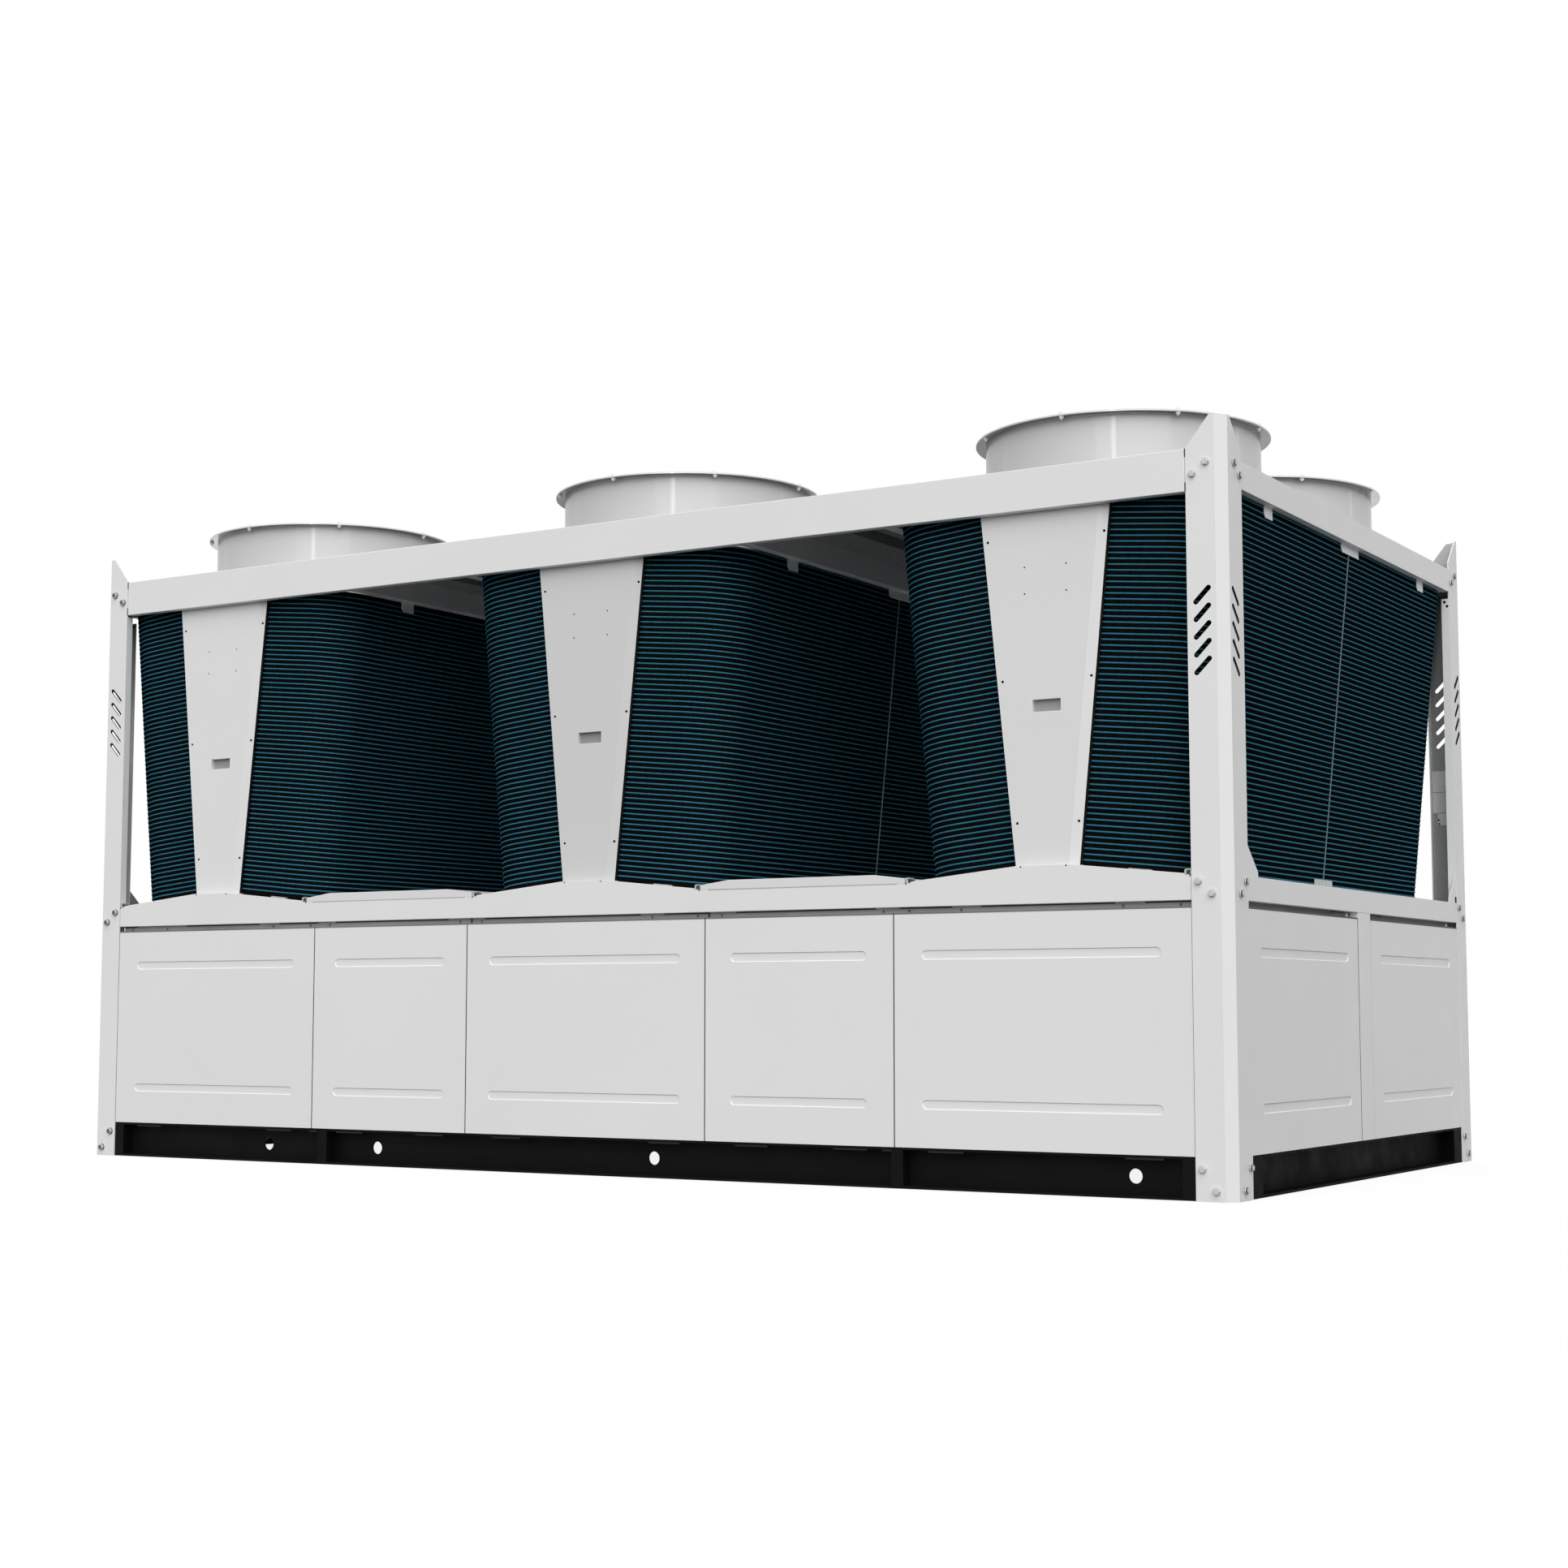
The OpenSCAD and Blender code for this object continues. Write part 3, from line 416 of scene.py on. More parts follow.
# Greys of the painted shade in the gaps beside the panels and along the panel tops
PANEL_GAP_SHADE_GREY = matt_paint("panel_gap_painted_shade", (0.045, 0.045, 0.046, 1.0), 0.1)
PANEL_TOP_SHADE_GREY = matt_paint("panel_top_painted_shade", (0.19, 0.19, 0.192, 1.0), 0.1)
END_PANEL_TOP_SHADE_GREY = matt_paint("end_panel_top_painted_shade", (0.105, 0.105, 0.106, 1.0), 0.1)
# Grey of the painted shade in the joint lines
JOINT_SHADE_GREY = matt_paint("joint_painted_shade", (0.40, 0.40, 0.40, 1.0), 0.1)
# Greys of the painted shade in the recesses above the panels
RECESS_SHADE_GREY = matt_paint("recess_painted_shade", (0.35, 0.35, 0.354, 1.0), 0.1)
END_RECESS_SHADE_GREY = matt_paint("end_recess_painted_shade", (0.15, 0.15, 0.152, 1.0), 0.1)
# Grey of the painted shade at the back of the handle recesses
HANDLE_SHADE_GREY = matt_paint("handle_painted_shade", (0.33, 0.325, 0.328, 1.0), 0.1)
# Grey of the plates inside the posts, a painted shade
INNER_PLATE_SHADE = matt_paint("inner_plate_painted_shade", (0.52, 0.52, 0.52, 1.0), 0.1)
FINS = fin_material()
TUBES = tube_material()
# Dark metal of the recess screws, and the painted shade and reflection on the post bolts
SCREW_AND_BOLT_SHADE = metal_material("dark_screw_and_bolt_shade", (0.10, 0.10, 0.105, 1.0), (0.35, 0.5), 300.0, 0.3)
ZINC = metal_material("galvanised_sheet", (0.42, 0.43, 0.44, 1.0), (0.42, 0.58), 55.0, 0.6)
DULL_ZINC = metal_material("dull_zinc", (0.20, 0.215, 0.225, 1.0), (0.5, 0.65), 90.0, 0.2)
DECK = metal_material("deck_sheet", (0.25, 0.252, 0.255, 1.0), (0.5, 0.65), 55.0, 0.2)
BOLT = metal_material("zinc_bolt", (0.53, 0.535, 0.55, 1.0), (0.38, 0.5), 300.0, 0.2)
COWL_BOLT = metal_material("bright_bolt", (0.78, 0.78, 0.79, 1.0), (0.38, 0.5), 300.0, 0.1)

# Finishes of the solids by their material slot, and by the start of their name where they have their own
SLOT_MATERIALS = {
    "cabinet_paint": PAINT,
    "base_paint": BLACK,
    "coil_fins": FINS,
    "galvanised_sheet": ZINC,
    "guard_wire": GUARD,
    "fan_plastic": PLASTIC,
}
OWN_MATERIALS = {
    "post_": POST,
    "mid_beam_left": POST,
    "mid_beam_right": POST,
    "base_left": BASE_END,
    "base_right": BASE_END,
    "cowl_": COWL,
    "coil_covers_": COVER,
    "valley_": COVER,
    "deck_left": DECK,
    "deck_middle": DECK,
    "deck_right": DECK,
}
FOLDED = ("front_panels", "rear_panels", "left_panels", "right_panels", "mid_beam_", "valley_",
          "coil_covers_", "top_beam_", "deck_", "base_", "drain_pan_")
FOLD_WIDTH = 1.2 * MM
BEAM_FOLD_WIDTH = 2.6 * MM
WELD_DISTANCE = 0.01 * MM
FOLD_ANGLE = math.radians(50.0)


def own_material(name, slot):
    """Finish of a solid: its own one, or that of its material slot."""
    for start, material in OWN_MATERIALS.items():
        if name.startswith(start):
            return material
    return SLOT_MATERIALS[slot]


def soften_folds(node, width):
    """Small rounded folds along the sheet edges of a solid."""
    weld = node.modifiers.new("weld", "WELD")
    weld.merge_threshold = WELD_DISTANCE
    fold = node.modifiers.new("folds", "BEVEL")
    fold.width = width
    fold.segments = 2
    fold.limit_method = "ANGLE"
    fold.angle_limit = FOLD_ANGLE
    fold.harden_normals = True


for part in frame["record"]["subparts"]:
    node = nodes[part["node"]]
    node.data.materials.clear()
    node.data.materials.append(own_material(part["node"], part["material_slot"]))
    if part["node"].startswith(FOLDED):
        soften_folds(node, BEAM_FOLD_WIDTH if part["node"].startswith("top_beam_") else FOLD_WIDTH)


# Mesh helpers, in millimetres
UNIT_FRAME = Matrix.Scale(MM, 4)

# Small turned shapes: sides, radius as a share of the width, and the profile in shares of radius and height
HEX = (6, 1.0 / math.sqrt(3.0), ((1.0, 0.0), (1.0, 0.8), (0.86, 1.0)))
WASHER = (20, 0.5, ((1.0, 0.0), (1.0, 0.7), (0.95, 1.0)))
DOME = (12, 0.5, ((1.0, 0.0), (0.96, 0.5), (0.7, 0.88), (0.3, 1.0)))
DISC_SIDES = 14
DISC_SUNK = 1.0
DISC_PROUD = 0.3
STADIUM_STEPS = 8


def piece_from(builder, name, material):
    """A finished piece from a bmesh, riding on the unit."""
    mesh = bpy.data.meshes.new(name)
    bmesh.ops.recalc_face_normals(builder, faces=builder.faces)
    builder.to_mesh(mesh)
    builder.free()
    mesh.materials.append(material)
    piece = bpy.data.objects.new(name, mesh)
    bpy.context.scene.collection.objects.link(piece)
    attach(piece, "root")


def join_rings(builder, one, two):
    """Faces between two rings of equal length."""
    count = len(one)
    for i in range(count):
        j = (i + 1) % count
        builder.faces.new((one[i], one[j], two[j], two[i]))


def add_loft(builder, rings):
    """Joins rings of equal length into a closed skin with a cap at each end."""
    made = [[builder.verts.new(point) for point in ring] for ring in rings]
    for one, two in zip(made, made[1:]):
        join_rings(builder, one, two)
    builder.faces.new(made[0])
    builder.faces.new(list(reversed(made[-1])))


def add_prism(builder, outline, low, high, place=UNIT_FRAME):
    """A plan outline raised from one height to another."""
    add_loft(builder, [[place @ Vector((x, y, z)) for x, y in outline] for z in (low, high)])


def add_box(builder, one, two, place=UNIT_FRAME):
    """A box between two opposite corners."""
    low = [min(pair) for pair in zip(one, two)]
    high = [max(pair) for pair in zip(one, two)]
    outline = ((low[0], low[1]), (high[0], low[1]), (high[0], high[1]), (low[0], high[1]))
    add_prism(builder, outline, low[2], high[2], place)


def add_long_box(builder, row, span, depths, heights):
    """A box on a long side: its X range, its depths behind the side and its heights."""
    near, far = (row * (HALF_WIDTH - depth) for depth in depths)
    add_box(builder, (span[0], near, heights[0]), (span[1], far, heights[1]))


def add_end_box(builder, end, row, span, depths, heights):
    """A box on an end: its Y range on the front or rear half, its depths behind the end and its heights."""
    near, far = (end * (HALF_LENGTH - depth) for depth in depths)
    add_box(builder, (near, row * span[0], heights[0]), (far, row * span[1], heights[1]))


def add_slab(builder, outline, row, depths):
    """An upright X-Z outline on a long side that reaches from one depth to another."""
    rings = []
    for depth in depths:
        y = row * (HALF_WIDTH - depth)
        rings.append([UNIT_FRAME @ Vector((x, y, z)) for x, z in outline])
    add_loft(builder, rings)


def add_turned(builder, profile, sides, place):
    """Rings of given radius and height round the local Z axis."""
    turns = [2.0 * math.pi * i / sides for i in range(sides)]
    rings = []
    for radius, height in profile:
        rings.append([place @ Vector((radius * math.cos(t), radius * math.sin(t), height)) for t in turns])
    add_loft(builder, rings)


def add_small(builder, shape, place, width, height):
    """A hexagon, washer or dome of a given width and height."""
    sides, share, profile = shape
    radius = width * share
    add_turned(builder, [(radius * out, height * up) for out, up in profile], sides, place)


def add_disc(builder, place, diameter):
    """A flat dark disc that stands for a small hole, its darkness a painted shade."""
    profile = ((diameter / 2, -DISC_SUNK), (diameter / 2, DISC_PROUD))
    add_turned(builder, profile, DISC_SIDES, place)


def facing(point, outward):
    """Local frame at a point of the unit whose Z axis points outward."""
    turn = Vector(outward).to_track_quat("Z", "Y").to_matrix().to_4x4()
    return UNIT_FRAME @ Matrix.Translation(point) @ turn


def add_stack(point, outward, layers):
    """Small shapes on top of each other: the bmesh, shape, width and height of each."""
    seat = Vector(point)
    for builder, shape, width, height in layers:
        add_small(builder, shape, facing(seat, outward), width, height)
        seat = seat + Vector(outward) * height


def stadium(length, width):
    """Outline of a bar with round ends along the first axis."""
    radius = width / 2.0
    shift = length / 2.0 - radius
    points = []
    for end in BOTH:
        for i in range(STADIUM_STEPS + 1):
            angle = math.pi * (i / STADIUM_STEPS - 0.5) + (0.0 if end > 0 else math.pi)
            points.append((end * shift + radius * math.cos(angle), radius * math.sin(angle)))
    return points


# Coil tubes: rounded ridges along the bent coil face, with the first row's height on each module's two sides
TUBE_PITCH = 16.81
TUBE_HEIGHT = 4.7
TUBE_PROUD = 1.8
TUBE_STARTS = {"left": (25.8, 22.1), "middle": (25.2, 20.8), "right": (24.0, 19.6)}
BEND_STEPS = 10
NOSE_STEPS = 4


def coil_path():
    """Plan points of the outer coil face with their outward normals, in the coil's own frame."""
    front = COIL_INSET - HALF_WIDTH
    bend_x = COIL_WIDTH - COIL_BEND
    bend_y = front + COIL_BEND
    path = [((COIL_START, front), (0.0, -1.0))]
    for i in range(BEND_STEPS + 1):
        angle = math.radians(-90.0 + 90.0 * i / BEND_STEPS)
        normal = (math.cos(angle), math.sin(angle))
        path.append(((bend_x + COIL_BEND * normal[0], bend_y + COIL_BEND * normal[1]), normal))
    path.append(((COIL_WIDTH, -COIL_SEAM / 2), (1.0, 0.0)))
    return path


def coil_matrix(module_x, side, row):
    """From one coil's own frame in millimetres to the unit's frame in metres."""
    lean = Matrix.Rotation(COIL_TILT, 4, "Y")
    local = Matrix.Translation((PAN_FLAT, 0.0, PAN_TOP)) @ lean
    mirror = Matrix.Diagonal((side, row, 1.0, 1.0))
    return UNIT_FRAME @ Matrix.Translation((module_x, 0.0, 0.0)) @ mirror @ local


def tube_nose():
    """Section of a tube edge: reach from the coil face against height."""
    section = [(-TUBE_PROUD, -TUBE_HEIGHT / 2)]
    for i in range(NOSE_STEPS + 1):
        angle = math.pi * (i / NOSE_STEPS - 0.5)
        section.append((TUBE_PROUD * math.cos(angle), TUBE_HEIGHT / 2 * math.sin(angle)))
    section.append((-TUBE_PROUD, TUBE_HEIGHT / 2))
    return section


def coil_tubes(label, module_x):
    builder = bmesh.new()
    path = coil_path()
    nose = tube_nose()
    for side, start in zip(BOTH, TUBE_STARTS[label]):
        count = int((COIL_HEIGHT - TUBE_HEIGHT / 2 - start) / TUBE_PITCH) + 1
        for row in BOTH:
            matrix = coil_matrix(module_x, side, row)
            for i in range(count):
                middle = start + i * TUBE_PITCH
                rings = []
                for (x, y), (nx, ny) in path:
                    ring = [matrix @ Vector((x + nx * out, y + ny * out, middle + up)) for out, up in nose]
                    rings.append(ring)
                add_loft(builder, rings)
    piece_from(builder, "coil_tubes_" + label, TUBES)


# Strip and bracket over the seam of two coils on a module's side
SEAM_STRIP = 2.4
SEAM_PROUD = 2.2
SEAM_RANGE = (30.0, 1074.0)
BRACKET_HALF = 82.0
BRACKET_SHEET = 2.5
BRACKET_TOP = 937.0
BRACKET_GAP = 2.6
BRACKET_DOTS = (-62.0, -31.0, 0.0, 31.0, 62.0)
BRACKET_DOT = 9.0
BRACKET_DOT_HEIGHT = 1.0
BRACKET_DOT_Z = 909.0


def seam_strips():
    builder = bmesh.new()
    low = (COIL_WIDTH - SEAM_PROUD, -SEAM_STRIP / 2, SEAM_RANGE[0])
    high = (COIL_WIDTH + SEAM_PROUD, SEAM_STRIP / 2, SEAM_RANGE[1])
    for _, module_x in MODULES:
        for side in BOTH:
            add_box(builder, low, high, coil_matrix(module_x, side, 1.0))
    piece_from(builder, "coil_seam_strips", DULL_ZINC)


def seam_brackets():
    plates = bmesh.new()
    dots = bmesh.new()
    foot_x = PAN_FLAT + COIL_WIDTH * math.cos(COIL_TILT) + BRACKET_GAP
    for _, module_x in MODULES:
        for side in BOTH:
            near = module_x + side * foot_x
            far = near + side * BRACKET_SHEET
            add_box(plates, (near, -BRACKET_HALF, MID_TOP + PAN_SHEET), (far, BRACKET_HALF, BRACKET_TOP))
            for y in BRACKET_DOTS:
                place = facing((far, y, BRACKET_DOT_Z), (side, 0.0, 0.0))
                add_small(dots, DOME, place, BRACKET_DOT, BRACKET_DOT_HEIGHT)
    piece_from(plates, "coil_seam_brackets", ZINC)
    piece_from(dots, "coil_seam_bracket_screws", HOLE)


# Open ends of the pan lips beside each hump: X of the lip and of its dark inside, from the module's middle
LIP_ENDS = (((434.0, 452.0), (440.0, 451.0)), ((-433.0, -451.0), (-433.0, -441.5)))
LIP_RANGE = (899.0, 916.0)
LIP_DARK_RANGE = (901.0, 913.0)
LIP_ROUND = 4.0
LIP_ROUND_CUT = 1.2
LIP_TAIL_WIDTH = 3.5
LIP_TAIL_FOOT = 895.0
LIP_DEPTHS = (-0.3, 26.0)
LIP_DARK_DEPTHS = (-0.6, 26.0)


def add_lip_outline(builder, span, heights, row, depths):
    """Upright plate with its inner top corner rounded off."""
    inner, outer = span
    low, high = heights
    way = math.copysign(1.0, outer - inner)
    rounded = (
        (inner + way * LIP_ROUND, high),
        (inner + way * LIP_ROUND_CUT, high - LIP_ROUND_CUT),
        (inner, high - LIP_ROUND),
    )
    add_slab(builder, ((inner, low), (outer, low), (outer, high)) + rounded, row, depths)


def pan_lip_ends():
    plates = bmesh.new()
    insides = bmesh.new()
    for _, module_x in MODULES:
        for plate, inside in LIP_ENDS:
            span = [module_x + x for x in plate]
            dark = [module_x + x for x in inside]
            tail = (span[1] - math.copysign(LIP_TAIL_WIDTH, plate[1]), span[1])
            for row in BOTH:
                add_lip_outline(plates, span, LIP_RANGE, row, LIP_DEPTHS)
                add_lip_outline(insides, dark, LIP_DARK_RANGE, row, LIP_DARK_DEPTHS)
                add_long_box(insides, row, tail, LIP_DARK_DEPTHS, (LIP_TAIL_FOOT, LIP_DARK_RANGE[0]))
    piece_from(plates, "pan_lip_ends", ZINC)
    piece_from(insides, "pan_lip_hollows", GAP)


# Clips on the drain pans in front of the right coil of each module: X from the module's middle
CLIP_RANGE = (246.0, 316.0)
CLIP_DEPTHS = (46.0, 54.0)
CLIP_HEIGHT = 6.0


def pan_height(x):
    """Height of a drain pan's slope at a distance from the module's middle."""
    return MID_TOP + PAN_SHEET + (PAN_EDGE - x) * math.tan(COIL_TILT)


def coil_clips():
    builder = bmesh.new()
    feet = [(x, pan_height(x)) for x in CLIP_RANGE]
    heads = [(x, z + CLIP_HEIGHT) for x, z in reversed(feet)]
    for _, module_x in MODULES:
        outline = [(module_x + x, z) for x, z in feet + heads]
        for row in BOTH:
            add_slab(builder, outline, row, CLIP_DEPTHS)
    piece_from(builder, "coil_clips", ZINC)


# Bolts of the posts: distance from the corner and height
POST_BOLTS_LONG = ((54.5, 2060.0), (95.0, 2030.0), (95.0, 881.0), (54.5, 846.0), (95.0, 88.0), (54.5, 29.0))
POST_BOLTS_END = ((71.0, 2064.0), (111.0, 2035.0), (111.0, 882.0), (71.0, 846.0), (111.0, 89.0), (71.0, 29.0))
# Width and height of the layers of these bolts; the dark seats, heads and tops are a painted shade and
# reflection
POST_WASHER = (24.0, 2.5)
POST_BOLT_HEAD = (18.0, 8.0)
DARK_TOP = (16.5, 0.8)
END_BOLT_SEAT = (22.0, 1.5)
END_BOLT_FLANGE = (23.0, 3.0)
END_BOLT_HEAD = (18.0, 4.5)
END_BOLT_TOP = (16.0, 1.2)


def post_bolts():
    """Plain bolts on the right posts, dark-topped ones on the left posts and flanged ones on the ends; their
    dark layers are a painted shade and reflection.
    """
    bright = bmesh.new()
    dark = bmesh.new()
    plain = ((bright, WASHER, *POST_WASHER), (bright, HEX, *POST_BOLT_HEAD))
    dark_topped = ((dark, WASHER, *POST_WASHER), (bright, HEX, *POST_BOLT_HEAD), (dark, WASHER, *DARK_TOP))
    flanged = (
        (dark, WASHER, *END_BOLT_SEAT),
        (bright, WASHER, *END_BOLT_FLANGE),
        (dark, HEX, *END_BOLT_HEAD),
        (bright, WASHER, *END_BOLT_TOP),
    )
    for end, row in CORNERS:
        for inset, z in POST_BOLTS_LONG:
            point = (end * (HALF_LENGTH - inset), row * HALF_WIDTH, z)
            add_stack(point, (0.0, row, 0.0), plain if end > 0 else dark_topped)
        for inset, z in POST_BOLTS_END:
            point = (end * HALF_LENGTH, row * (HALF_WIDTH - inset), z)
            add_stack(point, (end, 0.0, 0.0), flanged)
    piece_from(bright, "post_bolts", BOLT)
    piece_from(dark, "post_bolt_shaded_layers", SCREW_AND_BOLT_SHADE)


# Bolts of the cowl flanges, eight round each top and foot: width and height of their layers
COWL_BOLT_COUNT = 8
COWL_BOLT_RADIUS = 449.0
COWL_WASHER = (17.0, 1.6)
COWL_BOLT_HEAD = (13.0, 5.5)
COWL_NUT = (13.0, 7.0)
COWL_STUD = (8.0, 11.0)
STUD_CHAMFER = 1.0
STUD_SIDES = 12


def cowl_bolts():
    builder = bmesh.new()
    up = (0.0, 0.0, 1.0)
    down = (0.0, 0.0, -1.0)
    bolt = ((builder, WASHER, *COWL_WASHER), (builder, HEX, *COWL_BOLT_HEAD))
    radius, length = COWL_STUD[0] / 2, COWL_STUD[1]
    stud = ((radius, 0.0), (radius, length - STUD_CHAMFER), (radius - STUD_CHAMFER, length))
    for _, module_x in MODULES:
        for row in BOTH:
            for i in range(COWL_BOLT_COUNT):
                turn = 2.0 * math.pi * i / COWL_BOLT_COUNT
                x = module_x + COWL_BOLT_RADIUS * math.sin(turn)
                y = row * FAN_Y - COWL_BOLT_RADIUS * math.cos(turn)
                add_stack((x, y, COWL_TOP), up, bolt)
                add_stack((x, y, COWL_FOOT + COWL_FLANGE), up, bolt)
                under = facing((x, y, COWL_TOP - COWL_FLANGE), down)
                add_small(builder, HEX, under, *COWL_NUT)
                add_turned(builder, stud, STUD_SIDES, under)
    piece_from(builder, "cowl_bolts", COWL_BOLT)


# Recess above the panels: strips in grey painted shade, darker on the ends, dark slots of painted shade along
# their top and at the joints, and screws, by X or, on the ends, by Y
RECESS_STRIP = 0.8
RECESS_STRIP_DROP = 5.0
RECESS_SLOTS = ((-2086.0, -2024.0), (-1779.0, -1424.0), (-1329.0, -1150.0), (-1069.0, -571.0),
                (-416.0, 211.0), (302.0, 467.0), (572.0, 1069.0), (1150.0, 1328.0), (1423.0, 1848.0),
                (1940.0, BEAM_END))
RECESS_SLOT_HEIGHT = 4.6
RECESS_SLOT_PROUD = 1.2
RECESS_JOINTS = PANEL_SEAMS[2:4]
RECESS_JOINT_WIDTH = 7.0
RECESS_SCREWS = (-2047.0, -1873.0, -1358.0, -1184.0, -1096.0, -521.0, -429.0, 256.0, 429.0, 519.0,
                 1096.0, 1184.0, 1358.0, 1873.0, 2047.0)
RECESS_SCREW = (9.0, 2.0)
RECESS_SCREW_Z = 818.0
END_RECESS_SPAN = (END_SEAMS[0] + PANEL_GAP / 2, END_SEAMS[1] - PANEL_GAP / 2)
END_SLOT = (124.0, 248.0)
END_JOINT = (1000.5, END_RECESS_SPAN[1])
END_SCREW_PLACES = (100.0, 955.0)
END_SCREW = (14.0, 5.0)


def recess_strips():
    long_strips = bmesh.new()
    end_strips = bmesh.new()
    slots = bmesh.new()
    strip = (RECESS_DEPTH, RECESS_DEPTH - RECESS_STRIP)
    slot = (RECESS_DEPTH, RECESS_DEPTH - RECESS_SLOT_PROUD)
    whole = (PANEL_TOP - RECESS_STRIP_DROP, MID_BOTTOM)
    upper = (MID_BOTTOM - RECESS_SLOT_HEIGHT, MID_BOTTOM)
    half = RECESS_JOINT_WIDTH / 2
    for row in BOTH:
        add_long_box(long_strips, row, (-BEAM_END, BEAM_END), strip, whole)
        for span in RECESS_SLOTS:
            add_long_box(slots, row, span, slot, upper)
        for x in RECESS_JOINTS:
            add_long_box(slots, row, (x - half, x + half), slot, whole)
    for end, row in CORNERS:
        add_end_box(end_strips, end, row, END_RECESS_SPAN, strip, whole)
        add_end_box(slots, end, row, END_SLOT, slot, upper)
        add_end_box(slots, end, row, END_JOINT, slot, whole)
    # Painted shade: grey strips over the recess and the panel tops, and dark slots in its openings and joints
    piece_from(long_strips, "recess_strips", RECESS_SHADE_GREY)
    piece_from(end_strips, "end_recess_strips", END_RECESS_SHADE_GREY)
    piece_from(slots, "recess_slots", GAP)


def recess_screws():
    dark = bmesh.new()
    bright = bmesh.new()
    depth = RECESS_DEPTH - RECESS_STRIP
    for row in BOTH:
        for x in RECESS_SCREWS:
            place = facing((x, row * (HALF_WIDTH - depth), RECESS_SCREW_Z), (0.0, row, 0.0))
            add_small(dark, DOME, place, *RECESS_SCREW)
    for end, row in CORNERS:
        for y in END_SCREW_PLACES:
            place = facing((end * (HALF_LENGTH - depth), row * y, RECESS_SCREW_Z), (end, 0.0, 0.0))
            add_small(bright, DOME, place, *END_SCREW)
    piece_from(dark, "recess_screws", SCREW_AND_BOLT_SHADE)
    piece_from(bright, "end_recess_screws", COWL_BOLT)


# Painted shade: grey fillers in the upright gaps beside the panels, and grey bands along the panel tops
GAP_SHADE_DEPTHS = (2.4, 24.0)
PANEL_TOP_SHADE_HEIGHT = 5.0
PANEL_TOP_SHADE_PROUD = 0.3


def panel_gap_shade_fillers():
    builder = bmesh.new()
    half = PANEL_GAP / 2
    heights = (BASE_TOP, PANEL_TOP)
    for row in BOTH:
        for x in PANEL_SEAMS:
            add_long_box(builder, row, (x - half, x + half), GAP_SHADE_DEPTHS, heights)
    for end, row in CORNERS:
        for y in END_SEAMS:
            add_end_box(builder, end, row, (y - half, y + half), GAP_SHADE_DEPTHS, heights)
    piece_from(builder, "panel_gap_shade_fillers", PANEL_GAP_SHADE_GREY)


def panel_top_shade_bands():
    long_shade_bands = bmesh.new()
    end_shade_bands = bmesh.new()
    half = PANEL_GAP / 2
    depths = (PANEL_INSET - PANEL_TOP_SHADE_PROUD, PANEL_INSET)
    heights = (PANEL_TOP - PANEL_TOP_SHADE_HEIGHT, PANEL_TOP)
    for row in BOTH:
        for left, right in zip(PANEL_SEAMS, PANEL_SEAMS[1:]):
            add_long_box(long_shade_bands, row, (left + half, right - half), depths, heights)
    for end, row in CORNERS:
        add_end_box(end_shade_bands, end, row, END_RECESS_SPAN, depths, heights)
    piece_from(long_shade_bands, "panel_top_shade_bands", PANEL_TOP_SHADE_GREY)
    piece_from(end_shade_bands, "end_panel_top_shade_bands", END_PANEL_TOP_SHADE_GREY)


# Folded hooks of the panels that show under the edge of the long base rails, in black lightened as a painted
# highlight
HOOK_LENGTH = 116.0
HOOK_HEIGHT = 5.0
HOOK_SHEET = 2.0
HOOK_INSETS = (169.0, 153.0)
SHORT_HOOKS = ((-1154.0, -1121.0), (1100.0, 1131.0))


def panel_hooks():
    builder = bmesh.new()
    top = BASE_TOP - BASE_SHEET
    half = HOOK_LENGTH / 2
    spans = list(SHORT_HOOKS)
    for left, right in zip(PANEL_SEAMS, PANEL_SEAMS[1:]):
        for x in (left + HOOK_INSETS[0], right - HOOK_INSETS[1]):
            spans.append((x - half, x + half))
    for row in BOTH:
        for span in spans:
            add_long_box(builder, row, span, (BASE_INSET, BASE_INSET + HOOK_SHEET), (top - HOOK_HEIGHT, top))
    piece_from(builder, "panel_hooks", BLACK_HOOK_HIGHLIGHT)


# Painted shade: grey joint lines under the valley covers and between beams and posts, and dark gaps between
# the top beams and the posts
VALLEY_SPAN = (483.0, 1156.0)
VALLEY_LINE = 3.0
LINE_DEPTHS = (-0.25, 20.0)
JOINT_DEPTHS = (0.6, 20.0)
GAP_SPREAD = 0.9
GAP_HEAD = 24.0
GAP_FOOT = 27.0


def joint_lines():
    lines = bmesh.new()
    gaps = bmesh.new()
    line = (MID_TOP - VALLEY_LINE / 2, MID_TOP + VALLEY_LINE / 2)
    low, high = TOP_BEAM
    for end, row in CORNERS:
        add_long_box(lines, row, [end * x for x in VALLEY_SPAN], LINE_DEPTHS, line)
        add_long_box(lines, row, (end * BEAM_END, end * POST_EDGE), JOINT_DEPTHS, (MID_BOTTOM, MID_TOP))
        wide = (end * (BEAM_END - GAP_SPREAD), end * (POST_EDGE + GAP_SPREAD))
        add_long_box(gaps, row, wide, LINE_DEPTHS, (high - GAP_HEAD, high))
        add_long_box(gaps, row, wide, LINE_DEPTHS, (low, low + GAP_FOOT))
    piece_from(lines, "joint_lines", JOINT_SHADE_GREY)
    piece_from(gaps, "beam_gaps", GAP)


# Dark walls of the slanted post slots, a painted shade, with the same sizes as the solids
SLOT_COUNT = 5
SLOT_LOW = 1483.0
SLOT_PITCH = 50.0
SLOT_INSET = 71.0
SLOT_RISE = 38.0
SLOT_WIDTH = 15.0
SLOT_LENGTH = SLOT_RISE * math.sqrt(2.0) + SLOT_WIDTH
SLOT_TURN = Matrix.Rotation(math.radians(135.0), 4, "Z")
SLOT_SHADE_SHEET = 0.5


